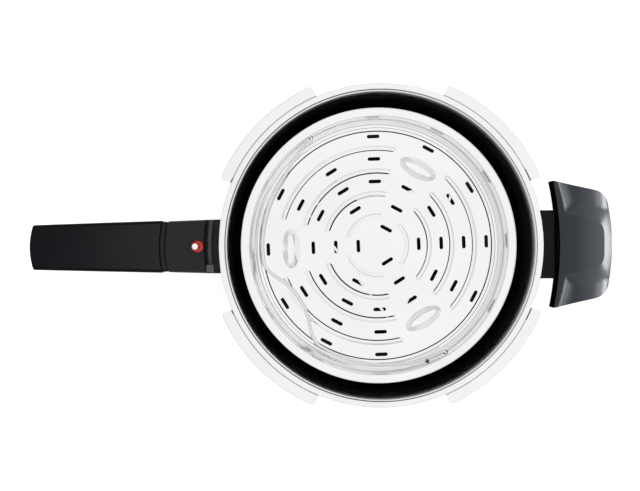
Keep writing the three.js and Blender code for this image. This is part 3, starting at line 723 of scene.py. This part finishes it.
def wall_profile():
    """Basket wall: a crease round the floor, two ledges, a bend, the wall and the flange."""
    draft = math.degrees(BASKET_DRAFT)
    start = BASKET_FLOOR_RADIUS - CREASE_SHY
    end = start + CREASE_WIDTH
    ledge_z = BASKET_FLOOR_Z + LEDGE_RISE
    points = [(start, BASKET_FLOOR_Z), (start + CREASE_WIDTH / 2, BASKET_FLOOR_Z - CREASE_DEPTH)]
    points += [(end, ledge_z - CREASE_LIP), (end + CREASE_WIDTH / 2, ledge_z), (STEP_RADIUS, ledge_z)]
    ledge_z += STEP_RISE
    points += [(STEP_RADIUS + STEP_WIDTH, ledge_z), (STEP_RADIUS + 3 * STEP_WIDTH, ledge_z)]
    tangent_z = ledge_z + WALL_BEND * (1 - math.sin(BASKET_DRAFT))
    bend_r = wall_radius(tangent_z) - WALL_BEND * math.cos(BASKET_DRAFT)
    points += arc(bend_r, ledge_z + WALL_BEND, WALL_BEND, -90, -draft, 10)
    mouth = wall_radius(BASKET_FLANGE_Z)
    bend = FLANGE_BEND + FLANGE_EASE
    low = BASKET_FLANGE_Z - bend
    points += [(wall_radius(z), z) for z in (*WALL_ROWS_Z, low - WALL_TOP_ROW)]
    points += arc(mouth + bend - FLANGE_SET, low, bend, 180 - draft, 90, 8)
    rim = mouth + FLANGE_WIDTH
    rows = (mouth + FLANGE_INNER, rim - FLANGE_OUTER, rim - FLANGE_EDGE)
    points += [(r, BASKET_FLANGE_Z) for r in rows]
    points += [(rim, BASKET_FLANGE_Z - FLANGE_EDGE_DROP)]
    return points


def build_basket():
    coords, heights, faces, origin = pressed_floor().triangles()
    skin = Skin()
    skin.verts = [(c.x, c.y, BASKET_FLOOR_Z + z) for c, z in zip(coords, heights)]
    for face in faces:
        centre = sum((coords[i] for i in face), Vector((0.0, 0.0))) / len(face)
        if not in_slot(centre) and not in_slit(centre):
            skin.faces.append(tuple(face))
    edge = {o: i for i, o in enumerate(origin) if o < BASKET_STEPS}
    low = [edge[i] for i in range(BASKET_STEPS)]
    for radius, z in wall_profile()[1:]:
        high = skin.add_ring([(x, y, z) for x, y in circle(radius, BASKET_STEPS)])
        skin.bridge(low, high)
        low = high
    basket = make_object("steamer", skin, sharp=60.0)
    normals_out(basket, floor_up=True)
    basket.data.transform(Matrix.Rotation(math.radians(PATTERN_TURN), 4, "Z"))
    mark_basket(basket)
    sheet = basket.modifiers.new("sheet", "SOLIDIFY")
    sheet.thickness = BASKET_SHEET * MM
    sheet.offset = -1.0
    sheet.material_offset = 3
    # The sheet's cut edges take the next material, so the edges of the floor's slots and of the flange get
    # the painted shade steel
    sheet.material_offset_rim = 1
    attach(basket, "basket")
    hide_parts("steamer_basket")
    return basket


def pierce_basket(basket):
    """Upright oblong holes in the wall: one at each end of the bail and a narrow one beside its far end."""
    fit = WIRE_RADIUS + BAIL_PLAY
    near = (BAIL_TURN, fit, *NEAR_HOLE)
    far = (BAIL_TURN + 180.0, fit, *FAR_HOLE)
    beside = (BAIL_TURN + 180.0 - SPARE_HOLE_TURN, SPARE_HOLE_HALF_WIDTH, *SPARE_HOLE)
    for degrees, half_width, below, half_height in (near, far, beside):
        z = BASKET_FLANGE_Z - BAIL_DROP - below
        place = (*polar(wall_radius(z) * MM, degrees), z * MM)
        turn = (0.0, math.radians(90.0), math.radians(degrees))
        drill(basket, place, turn, half_width * MM, HOLE_CUT * MM, half_height / half_width)
    weight_normals(basket)


def mark_basket(basket):
    """Gives the second material, painted shade, to the narrow fold round the floor and to the step's rise,
    and the third to the wall.
    """
    ledge = BASKET_FLOOR_Z + LEDGE_RISE
    for face in basket.data.polygons:
        x, y, z = (c / MM for c in face.center)
        off = math.hypot(x, y) - BASKET_FLOOR_RADIUS + CREASE_SHY
        past_step = off - CREASE_SHY - STEP_RADIUS + BASKET_FLOOR_RADIUS
        crease = 0 < off < CREASE_WIDTH and z < ledge - LEDGE_RISE / 2
        # Painted shade on the fold round the floor and on the step's rise
        if crease or 0 < past_step < STEP_WIDTH:
            face.material_index = 1
        if past_step > STEP_WIDTH and ledge + STEP_RISE + 3 * NEAR < z < BASKET_FLANGE_Z - FLANGE_BEND:
            face.material_index = 2


# Bail


def bail_path():
    """The wire's course from one headed end to the other, and where the heads are."""
    pivot_z = BASKET_FLANGE_Z - BAIL_DROP
    wall = wall_radius(pivot_z)
    reach = wall - WIRE_RADIUS - 3 * GAP
    rest = BASKET_FLOOR_RADIUS + GAP
    fall = (pivot_z - BASKET_FLOOR_Z - WIRE_RADIUS - 2 * GAP) / rest
    outside = wall + BASKET_SHEET + BAIL_HEAD_RADIUS + 2 * GAP
    middle = []
    for angle in range(4, 177, 2):
        off = abs(angle - 90 - BAIL_HUMP_TURN) / BAIL_HUMP_HALF_SPAN
        hump = BAIL_HUMP_DEPTH * (1 + math.cos(math.pi * min(off, 1.0) ** BAIL_HUMP_SHAPE)) / 2
        inward = smooth_step(angle / BAIL_STRAIGHT) if angle < 90 else math.sin(math.radians(angle))
        radius = reach - (reach - rest) * inward - hump
        x, y = polar(radius, angle)
        middle.append((x, y, pivot_z - y * fall))
    start = [(outside, 0.0, pivot_z), (wall + BASKET_SHEET, 0.0, pivot_z)]
    start += [(reach + out, along, pivot_z + up) for out, along, up in BAIL_BEND]
    finish = [(-x, y, z) for x, y, z in reversed(start)]
    return start + middle + finish, outside, pivot_z


def build_bail():
    points, outside, pivot_z = bail_path()
    skin = Skin()
    tube(skin, smooth_path(points, 3), WIRE_RADIUS, WIRE_SIDES)
    bail = make_object("bail_wire", skin)
    work = bmesh.new()
    work.from_mesh(bail.data)
    for side in (-1, 1):
        head = bmesh.ops.create_uvsphere(work, u_segments=24, v_segments=14, radius=BAIL_HEAD_RADIUS * MM)
        bmesh.ops.translate(work, verts=head["verts"], vec=(side * outside * MM, 0.0, pivot_z * MM))
    work.to_mesh(bail.data)
    work.free()
    bail.data.shade_smooth()
    bail.data.transform(Matrix.Rotation(math.radians(BAIL_TURN), 4, "Z"))
    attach(bail, "bail")
    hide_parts("basket_bail")
    return bail


def smooth_path(points, parts):
    """More points on a smooth curve through the given ones."""
    path = [Vector(p) for p in points]
    made = []
    for i in range(len(path) - 1):
        before = path[max(i - 1, 0)]
        after = path[min(i + 2, len(path) - 1)]
        for k in range(parts):
            t = k / parts
            a, b = path[i], path[i + 1]
            leave = (b - before) / 2 * (t ** 3 - 2 * t ** 2 + t)
            arrive = (after - a) / 2 * (t ** 3 - t ** 2)
            made.append(a + (b - a) * smooth_step(t) + leave + arrive)
    made.append(path[-1])
    return made


# Long handle


def guard_profile():
    """Distance from the pan's axis and height round the guard, with a ridge along its outer side."""
    level = HANDLE_TOP - GUARD_STEP
    ridge = GUARD_OUTER - GUARD_RIDGE
    fillet, small, large = GUARD_ROUNDS
    foot = ridge - fillet
    points = [(GUARD_INNER, HANDLE_BOTTOM), (GUARD_INNER, level), (foot, level)]
    points += arc(foot, level + fillet, fillet, -90, 0, 4)[1:]
    points += arc(ridge + small, HANDLE_TOP - small, small, 180, 90, 4)
    points += arc(GUARD_OUTER - large, HANDLE_TOP - large, large, 90, 0, 6)
    points += [(r, HANDLE_TOP - GUARD_GROOVE) for r in (GUARD_OUTER, GUARD_FOOT)]
    return points + [(GUARD_FOOT, HANDLE_BOTTOM)]


def edge_level(across):
    """Highest level on the handle at a distance from its middle, with rounded edges."""
    return HANDLE_TOP - corner_shy(HANDLE_HALF_WIDTH - abs(across), GUARD_EDGE)


def build_guard():
    skin = Skin()
    loops = []
    for j in range(GUARD_COLUMNS + 1):
        y = -HANDLE_HALF_WIDTH * math.cos(math.pi * j / GUARD_COLUMNS)
        top = edge_level(y)
        section = [(-math.sqrt(r * r - y * y), y, min(z, top)) for r, z in guard_profile()]
        loops.append(skin.add_ring(section))
    skin.loft(loops)
    guard = make_object("guard_apron", skin)
    normals_out(guard)
    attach(guard, "pot")
    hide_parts("handle_guard")
    return guard


def grip_ring(x, half, low, top, corner, bow):
    """A rounded section of the long grip, set back at its sides by the bow."""
    flat = half - corner
    points = []
    for cy, cz, start in ((flat, top, 0), (-flat, top, 90), (-flat, low, 180), (flat, low, 270)):
        points += arc(cy, cz - corner if start < 180 else cz + corner, corner, start, start + 90, 8)
        if start in (0, 180):
            points += [(cy * (1 - i / 6), cz) for i in range(1, 12)]
    return [(-(x - bow * (y / half) ** 2), y, z) for y, z in points]


def grip_stations():
    """Distance along the grip with how far its section is drawn in."""
    shoulder = GRIP_START + GRIP_NECK
    full = shoulder + GRIP_SHOULDER
    stations = [(GRIP_START, GRIP_NECK_DROP), (shoulder, GRIP_NECK_DROP)]
    stations += [(shoulder + GRIP_SHOULDER / 8, GRIP_NECK_DROP / 2)]
    stations += [(shoulder + GRIP_SHOULDER / 2, GRIP_NECK_DROP / 9), (full, 0.0)]
    body = GRIP_END - GRIP_END_ROUND - full
    stations += [(full + body * i / GRIP_STEPS, 0.0) for i in range(1, GRIP_STEPS + 1)]
    for i in range(1, 7):
        c, s = polar(GRIP_END_ROUND, 15.0 * i)
        stations.append((GRIP_END - GRIP_END_ROUND + s, GRIP_END_ROUND - c))
    return stations


def build_long_grip():
    """Long grip with a recessed neck, a waist below and a bowed end."""
    skin = Skin()
    rings = []
    for x, shrink in grip_stations():
        along = (x - GRIP_START) / (GRIP_END - GRIP_START)
        half = GRIP_HALF_WIDTH + (GRIP_END_HALF_WIDTH - GRIP_HALF_WIDTH) * along - shrink
        low = HANDLE_BOTTOM + GRIP_WAIST * math.sin(math.pi * along) ** 2 + shrink
        bow = GRIP_BOW * abs(2 * along - 1)
        rings.append(skin.add_ring(grip_ring(x, half, low, HANDLE_TOP - shrink, GRIP_CORNER - shrink, bow)))
    skin.loft(rings)
    grip = make_object("long_grip", skin, sharp=40.0)
    normals_out(grip)
    screw_bores(grip, ("handle_screw",))
    weight_normals(grip)
    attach(grip, "pot")
    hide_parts("handle_grip")
    return grip


# Lock pin and bush


def axis_of(node):
    """Where a turned node's axis stands, and its lowest and highest level, in millimetres."""
    low, high = (Vector(corner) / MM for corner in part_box(node))
    middle = (low + high) / 2
    return Vector((middle.x, middle.y, 0.0)), low.z, high.z


def build_bush():
    """Red bush: a stem in the collar under a rounded ring that is thicker towards the pan."""
    place, _, top = axis_of("lock_bush")
    seat = HANDLE_TOP + GAP
    bore = PIN_RADIUS + GAP
    crown = (BUSH_RADIUS - bore) / 2
    points = [(bore, BUSH_FOOT), (BUSH_STEM, BUSH_FOOT), (BUSH_STEM, seat), (BUSH_RADIUS, seat)]
    points += arc(bore + crown, top - crown, crown, 0, 180, 14)
    skin = turned(points, BUSH_STEPS, closed=True)
    skin.verts = [tuple(place + off_centre(Vector(p), seat, bore)) for p in skin.verts]
    bush = make_object("bush_ring", skin)
    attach(bush, "pot")
    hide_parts("lock_bush")
    return bush


def off_centre(point, seat, bore):
    """Shifts a point of the bush's ring towards the pan, and most at its outer edge."""
    radius = math.hypot(point.x, point.y)
    if point.z > seat + TINY or radius > BUSH_STEM + TINY:
        point.x += BUSH_SHIFT * (radius - bore) / (BUSH_RADIUS - bore)
    return point


def build_pin():
    """Steel pin with a domed top and a thinner stem."""
    place, foot, top = axis_of("lock_pin")
    points = [(0.0, foot), (PIN_STEM, foot), (PIN_STEM, BUSH_FOOT), (PIN_RADIUS, BUSH_FOOT)]
    points += arc(PIN_RADIUS - PIN_DOME, top - PIN_DOME, PIN_DOME, 0, 90, 8) + [(0.0, top)]
    skin = turned(points, PIN_STEPS)
    skin.verts = [tuple(place + Vector(p)) for p in skin.verts]
    pin = make_object("lock_post", skin)
    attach(pin, "lock")
    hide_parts("lock_pin")
    return pin


# Helper grip


def side_half_width(out):
    """Half of the grip's width at a distance from its inner face, with round outer corners."""
    shy = corner_shy(SIDE_LENGTH - out, SIDE_CORNER)
    return SIDE_HALF_WIDTH - SIDE_TAPER * max(0.0, out / SIDE_LENGTH) - shy


def soft_min(a, b, blend):
    """The smaller of two values, with a smooth change-over."""
    share = min(max(0.5 + 0.5 * (b - a) / blend, 0.0), 1.0)
    return max(0.0, b + (a - b) * share - blend * share * (1 - share))


def side_drop(out, across, to_end):
    """How far the grip's top lies below its strip: a tongue with a bevelled end between scooped flanks."""
    share = max(0.0, out / SIDE_LENGTH)
    half = SIDE_TONGUE + (SIDE_TONGUE_END - SIDE_TONGUE) * share
    past = SIDE_TONGUE_ROUND + SIDE_END_RUN - to_end
    beside = SIDE_TONGUE_ROUND + SIDE_FLANK_LEAN * (abs(across) - half)
    reach = math.hypot(max(past, 0.0), max(beside, 0.0)) - SIDE_TONGUE_ROUND
    bevel = max(reach, 0.0)
    tongue = SIDE_END_LEAN * bevel + SIDE_END_CURVE * bevel ** 2
    strip = SIDE_STRIP * (1 - (across / SIDE_HALF_WIDTH) ** 2)
    hollow = 1 - min(max(1 - (out - strip) / SIDE_HOLLOW_RUN, 0.0), 1.0) ** 2
    soft = max(0.0, 1 - to_end / SIDE_SOFT_RUN) ** 2
    flank = SIDE_FLANK_DROP * hollow + SIDE_SOFT_DROP * soft
    return soft_min(tongue, flank, SIDE_BLEND) + SIDE_CROWN * share ** 2


def side_top_rows():
    """Rows of points over the top of the helper grip, from its inner face to its end."""
    rows = []
    for i in range(SIDE_ROWS + 1):
        run = SIDE_LENGTH * math.sin(math.pi / 2 * i / SIDE_ROWS)
        row = []
        for j in range(SIDE_COLUMNS + 1):
            v = 2.0 * j / SIDE_COLUMNS - 1
            share = run / SIDE_LENGTH
            back = (SIDE_INNER_BOW * (1 - share) + SIDE_END_BOW * share) * v * v
            half = side_half_width(run)
            z = SIDE_TOP - side_drop(run - 0.5 * back, v * half, SIDE_LENGTH - run)
            row.append((SIDE_INNER + run - back, v * half, z))
        rows.append(row)
    return rows


def build_helper_grip():
    rows = side_top_rows()
    skin = Skin()
    top = [skin.add_ring(row) for row in rows]
    low = [skin.add_ring([(x, y, SIDE_BOTTOM) for x, y, _ in row]) for row in rows]
    for a, b in zip(top, top[1:]):
        skin.bridge(b, a, closed=False)
    for a, b in zip(low, low[1:]):
        skin.bridge(a, b, closed=False)
    skin.bridge(border(low), border(top))
    grip = make_object("helper_grip", skin, sharp=40.0)
    normals_out(grip)
    screw_bores(grip, ("side_screw_left", "side_screw_right"))
    mark_sides(grip)
    round_edges(grip, SIDE_EDGE, segments=4, angle=50.0)
    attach(grip, "pot")
    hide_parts("side_grip")
    return grip


def build_neck(frame):
    """The helper handle's neck with a groove along the grip, painted dark as shade with the matte black."""
    neck = add_object("helper_neck", frame["nodes"]["side_neck"].data.copy())
    high = Vector(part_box("side_neck")[1])
    place = Vector(((SIDE_INNER - NECK_GROOVE) * MM, 0.0, high.z))
    turn = (math.radians(90.0), 0.0, 0.0)
    drill(neck, place, turn, NECK_GROOVE * MM, NECK_CUT * MM)
    # Painted shade: the groove's faces take the matte black
    for face in neck.data.polygons:
        off = (face.center - place) / MM
        if abs(off.x) < NECK_GROOVE and -NECK_GROOVE - NEAR < off.z < -NEAR / 2:
            face.material_index = 1
    round_edges(neck, NECK_EDGE)
    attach(neck, "pot")
    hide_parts("side_neck")
    return neck


def build_spring(frame):
    """The coil under the pin."""
    spring = add_object("lock_coil", frame["nodes"]["lock_spring"].data.copy())
    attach(spring, "pot")
    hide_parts("lock_spring")
    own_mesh(spring)
    return spring


def mark_sides(grip):
    """Gives the second material, a matte black that paints shade, to the upright and lower faces of the
    helper grip.
    """
    for face in grip.data.polygons:
        if face.normal.z < SIDE_TOP_LEAN:
            face.material_index = 1


def border(rows):
    """The point numbers round the edge of a grid of rows."""
    left = [row[0] for row in rows]
    right = [row[-1] for row in rows]
    return rows[0] + right[1:] + rows[-1][-2::-1] + left[-2:0:-1]


def normals_out(obj, floor_up=False):
    """Faces turned outwards or, on an open sheet, so that its floor looks up."""
    work = bmesh.new()
    work.from_mesh(obj.data)
    bmesh.ops.recalc_face_normals(work, faces=work.faces)
    flat = max(work.faces, key=lambda f: abs(f.normal.z) * f.calc_area())
    if floor_up and flat.normal.z < 0:
        bmesh.ops.reverse_faces(work, faces=work.faces)
    work.to_mesh(obj.data)
    work.free()


def screw_bores(obj, names):
    """Open holes under a grip over the heads of its screws."""
    for name in names:
        low, high = (Vector(corner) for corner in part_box(name))
        middle = (low + high) / 2
        radius = (high.x - low.x) / 2 + GAP * MM
        place = (middle.x, middle.y, high.z - BORE_DEPTH / 2 * MM)
        drill(obj, place, (0.0, 0.0, 0.0), radius, BORE_DEPTH * MM)


def drill(obj, place, turn, radius, depth, stretch=1.0):
    """Cuts a round or oval hole in a piece and applies its modifiers."""
    bpy.ops.mesh.primitive_cylinder_add(vertices=HOLE_SIDES, radius=radius, depth=depth)
    cutter = bpy.context.object
    cutter.location = place
    cutter.rotation_euler = turn
    cutter.scale.x = stretch
    cut = obj.modifiers.new("hole", "BOOLEAN")
    cut.object = cutter
    bpy.context.view_layer.update()
    whole = obj.evaluated_get(bpy.context.evaluated_depsgraph_get())
    obj.data = bpy.data.meshes.new_from_object(whole)
    obj.modifiers.clear()
    bpy.data.objects.remove(cutter)


# Materials


class Tree:
    """A node tree with short helpers."""

    def __init__(self, tree):
        self.nodes = tree.nodes
        self.links = tree.links

    def fill(self, node, **values):
        """Sets inputs or settings of a node, where an underscore stands for a space."""
        for key, value in values.items():
            label = key.replace("_", " ")
            if label in node.inputs:
                node.inputs[label].default_value = value
            else:
                setattr(node, key, value)
        return node

    def add(self, kind, **values):
        return self.fill(self.nodes.new(kind), **values)

    def join(self, source, output, target, socket):
        self.links.new(source.outputs[output], target.inputs[socket])

    def axes(self, kind):
        """Coordinates of one kind, split into X, Y and Z."""
        place = self.add("ShaderNodeTexCoord")
        split = self.add("ShaderNodeSeparateXYZ")
        self.join(place, kind, split, "Vector")
        return split


class Shader(Tree):
    """A material's nodes round its surface."""

    def __init__(self, name, **values):
        self.material = bpy.data.materials.new(name)
        self.material.use_nodes = True
        super().__init__(self.material.node_tree)
        self.surface = self.fill(self.nodes["Principled BSDF"], **values)

    def object_noise(self, scale, detail=3.0, rough=0.5):
        place = self.add("ShaderNodeTexCoord")
        noise = self.add("ShaderNodeTexNoise", Scale=scale, Detail=detail, Roughness=rough)
        self.join(place, "Object", noise, "Vector")
        return noise

    def ring_noise(self, scale):
        """Noise that runs round the Z axis, as turning and polishing leave it."""
        split = self.axes("Object")
        flat = self.add("ShaderNodeCombineXYZ")
        self.join(split, "X", flat, "X")
        self.join(split, "Y", flat, "Y")
        length = self.add("ShaderNodeVectorMath", operation="LENGTH")
        self.join(flat, "Vector", length, 0)
        both = self.add("ShaderNodeCombineXYZ")
        self.join(length, "Value", both, "X")
        self.join(split, "Z", both, "Y")
        noise = self.add("ShaderNodeTexNoise", Scale=scale, Detail=4.0, Roughness=0.6)
        self.join(both, "Vector", noise, "Vector")
        return noise

    def ramp(self, low, high, socket):
        """Blends between two shades on one of the surface's sockets."""
        ramp = self.add("ShaderNodeValToRGB")
        ramp.color_ramp.elements[0].color = (*low, 1.0)
        ramp.color_ramp.elements[1].color = (*high, 1.0)
        self.join(ramp, "Color", self.surface, socket)
        return ramp

    def spread(self, source, low, high, socket):
        """Maps a noise to a range on one of the surface's sockets."""
        span = self.add("ShaderNodeMapRange", From_Min=NOISE_LOW, From_Max=NOISE_HIGH)
        self.fill(span, To_Min=low, To_Max=high)
        self.join(source, "Fac", span, "Value")
        self.join(span, "Result", self.surface, socket)

    def tint(self, source, low, high):
        """Colours between two shades by a noise."""
        ramp = self.ramp(low, high, "Base Color")
        ramp.color_ramp.elements[0].position = NOISE_LOW
        ramp.color_ramp.elements[1].position = NOISE_HIGH
        self.join(source, "Fac", ramp, "Fac")

    def fade(self, axis, start, end, low, high, socket):
        """Blends from one shade to another between two places in millimetres along an axis."""
        span = self.add("ShaderNodeMapRange", From_Min=start * MM, From_Max=end * MM)
        self.join(self.axes("Object"), axis, span, "Value")
        self.join(span, "Result", self.ramp(low, high, socket), "Fac")

    def bump(self, source, strength, distance):
        bump = self.add("ShaderNodeBump", Strength=strength, Distance=distance)
        self.join(source, "Fac", bump, "Height")
        self.join(bump, "Normal", self.surface, "Normal")


def grey(level):
    return level, level, level


def polished_steel(name, shade, rough, scratch):
    shader = Shader(name, Metallic=1.0)
    shader.tint(shader.object_noise(18.0), tuple(0.96 * c for c in shade), shade)
    shader.spread(shader.object_noise(45.0, 5.0), rough * 0.8, rough * 1.25, "Roughness")
    shader.bump(shader.ring_noise(RING_SCALE), scratch, RING_DEPTH)
    return shader.material


def plain_metal(name, shade, rough):
    shader = Shader(name, Metallic=1.0)
    shader.tint(shader.object_noise(90.0), tuple(0.9 * c for c in shade), shade)
    shader.spread(shader.object_noise(400.0, 4.0), rough * 0.8, rough * 1.2, "Roughness")
    shader.bump(shader.object_noise(1500.0, 3.0), 0.05, 0.00005)
    return shader.material


def moulded_plastic(name, shade, rough, shine, grain):
    shader = Shader(name, Specular_IOR_Level=shine)
    dark = tuple(0.85 * c for c in shade)
    light = tuple(1.15 * c for c in shade)
    shader.tint(shader.object_noise(35.0, 5.0), dark, light)
    shader.spread(shader.object_noise(60.0, 4.0), rough * 0.88, rough * 1.12, "Roughness")
    shader.bump(shader.object_noise(GRAIN_SCALE, 3.0, 0.6), grain, GRAIN_DEPTH)
    return shader.material


def graded_steel(name, shade, polish, satin):
    """Steel of the upper wall inside the pan, which turns from a polish to satin below the rim."""
    shader = Shader(name, Metallic=1.0, Base_Color=(*shade, 1.0))
    shader.fade("Z", GRADE_LOW_Z, GRADE_HIGH_Z, grey(polish), grey(satin), "Roughness")
    shader.bump(shader.ring_noise(RING_SCALE), 0.03, RING_DEPTH)
    return shader.material


def sheen_painted_plastic(name, shade, painted_light, shine, rough, axis, start, end):
    """Moulded plastic with painted light, lighter along an axis."""
    shader = Shader(name, Specular_IOR_Level=shine)
    shader.fade(axis, start, end, shade, painted_light, "Base Color")
    shader.spread(shader.object_noise(60.0, 4.0), rough * 0.85, rough * 1.15, "Roughness")
    shader.bump(shader.object_noise(GRAIN_SCALE, 3.0, 0.6), 0.06, GRAIN_DEPTH)
    return shader.material


def gloss_red(name):
    shader = Shader(name)
    shader.tint(shader.object_noise(120.0, 3.0), *BUSH_REDS)
    shader.spread(shader.object_noise(200.0, 3.0), 0.16, 0.24, "Roughness")
    shader.bump(shader.object_noise(900.0, 2.0), 0.03, 0.00005)
    return shader.material


def paint(obj, *materials):
    slots = obj.data.materials
    for i, material in enumerate(materials):
        if i < len(slots):
            slots[i] = material
        else:
            slots.append(material)


def all_materials():
    made = {name: polished_steel(name, *look) for name, look in STEELS.items()}
    made |= {name: plain_metal(name, *look) for name, look in PLAIN_METALS.items()}
    made |= {name: moulded_plastic(name, *look) for name, look in PLASTICS.items()}
    made |= {name: sheen_painted_plastic(name, *look) for name, look in SHEEN_PAINTED_PLASTICS.items()}
    made["upper_inside"] = graded_steel("upper_inside", *UPPER_STEEL)
    made["bush_red"] = gloss_red("bush_red")
    return made


def paint_all(frame, pieces):
    made = all_materials()
    for name in (*NODE_LOOKS, *PLAIN_NODES):
        paint(frame["nodes"][name], made[NODE_LOOKS.get(name, "plain_steel")])
    for name, looks in PIECE_LOOKS.items():
        paint(pieces[name], *(made[look] for look in looks))


def soften_nodes(frame):
    for name, width in EDGE_WIDTHS.items():
        round_edges(frame["nodes"][name], width)


# Studio


def studio_floor():
    """A pale floor that looks white to the camera and in polished steel."""
    bpy.ops.mesh.primitive_plane_add(size=FLOOR_SIZE, location=(0.0, 0.0, -0.5 * MM))
    floor = bpy.context.object
    floor.name = "floor"
    paint(floor, floor_white())


def floor_white():
    shader = Shader("floor_white", Base_Color=(*grey(FLOOR_SHADE), 1.0), Roughness=0.9)
    path = shader.add("ShaderNodeLightPath")
    seen = shader.add("ShaderNodeMath", operation="MAXIMUM")
    shader.join(path, "Is Camera Ray", seen, 0)
    shader.join(path, "Is Glossy Ray", seen, 1)
    seen_all = shader.add("ShaderNodeMath", operation="MAXIMUM")
    shader.join(seen, 0, seen_all, 0)
    shader.join(path, "Is Transmission Ray", seen_all, 1)
    level = shader.add("ShaderNodeMath", operation="MULTIPLY")
    level.inputs[1].default_value = FLOOR_GLOW
    shader.join(seen_all, 0, level, 0)
    glow = shader.add("ShaderNodeEmission", Color=(*grey(1.0), 1.0))
    shader.join(level, 0, glow, "Strength")
    both = shader.add("ShaderNodeAddShader")
    shader.join(shader.surface, "BSDF", both, 0)
    shader.join(glow, "Emission", both, 1)
    shader.join(both, "Shader", shader.nodes["Material Output"], "Surface")
    return shader.material


def studio_world():
    """A bright ceiling over a dark horizon, dim on the left and brighter on the right."""
    world = bpy.data.worlds.new("studio")
    world.use_nodes = True
    bpy.context.scene.world = world
    tree = Tree(world.node_tree)
    split = tree.axes("Generated")
    height = tree.add("ShaderNodeValToRGB")
    grey_stops(height, ((DARK_TOP, DARK_LEVEL), (WALL_FOOT, WALL_LEVEL), (1.0, CEILING_LEVEL)))
    tree.join(split, "Z", height, "Fac")
    side = tree.add("ShaderNodeMapRange", From_Min=-1.0)
    tree.join(split, "X", side, "Value")
    across = tree.add("ShaderNodeValToRGB")
    grey_stops(across, [((x + 1) / 2, level) for x, level in SIDE_LEVELS])
    tree.join(side, "Result", across, "Fac")
    tilted = tree.add("ShaderNodeVectorMath", operation="MULTIPLY")
    tree.join(height, "Color", tilted, 0)
    tree.join(across, "Color", tilted, 1)
    path = tree.add("ShaderNodeLightPath")
    white = tree.add("ShaderNodeMix", data_type="RGBA", B=(*grey(1.0), 1.0))
    tree.join(path, "Is Camera Ray", white, "Factor")
    tree.join(tilted, "Vector", white, "A")
    tree.join(white, "Result", tree.nodes["Background"], "Color")


def grey_stops(ramp, levels):
    """Sets a colour ramp's stops from pairs of a position and a grey level."""
    stops = ramp.color_ramp.elements
    stops.remove(stops[1])
    for i, (position, level) in enumerate(levels):
        stop = stops.new(position) if i else stops[0]
        stop.position = position
        stop.color = (*grey(level), 1.0)


def softbox(target, name, place, size, power):
    light = bpy.data.lights.new(name, "AREA")
    light.shape = "RECTANGLE"
    light.size, light.size_y = size
    light.energy = power
    obj = add_object(name, light)
    obj.location = place
    obj.rotation_euler = (Vector(target) - Vector(place)).to_track_quat("-Z", "Y").to_euler()
    obj.visible_camera = False
    return obj


def shine_on(lamp, pieces):
    """Lets a lamp light the given pieces alone."""
    group = bpy.data.collections.new(lamp.name + "_only")
    for piece in pieces:
        group.objects.link(piece)
    lamp.light_linking.receiver_collection = group


def studio_lights(helper_pieces, grip_pieces):
    """Boxes on three sides of the helper handle and one overhead for the long grip."""
    for lamp in HELPER_LAMPS:
        shine_on(softbox(HELPER_PLACE, *lamp), helper_pieces)
    shine_on(softbox(GRIP_PLACE, *GRIP_LAMP), grip_pieces)


def add_camera():
    camera = bpy.data.cameras.new("photo_camera")
    camera.lens = CAMERA_LENS
    camera.sensor_width = 36.0
    camera.sensor_fit = "HORIZONTAL"
    obj = add_object("photo_camera", camera)
    obj.location = (CAMERA_X * MM, CAMERA_Y * MM, (RIM_Z + CAMERA_ABOVE_RIM) * MM)
    obj.rotation_euler = (0.0, 0.0, math.radians(CAMERA_ROLL))
    bpy.context.scene.camera = obj


def main():
    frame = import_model()
    bpy.context.scene.view_settings.view_transform = "Standard"
    add_camera()
    studio_floor()
    studio_world()
    pieces = {
        "pan": build_pan(), "basket": build_basket(), "bail": build_bail(), "bush": build_bush(),
        "pin": build_pin(), "guard": build_guard(), "grip": build_long_grip(),
        "helper": build_helper_grip(), "neck": build_neck(frame), "spring": build_spring(frame),
    }
    studio_lights([pieces["helper"], pieces["neck"]], [pieces["grip"]])
    soften_nodes(frame)
    paint_all(frame, pieces)
    pierce_basket(pieces["basket"])


main()
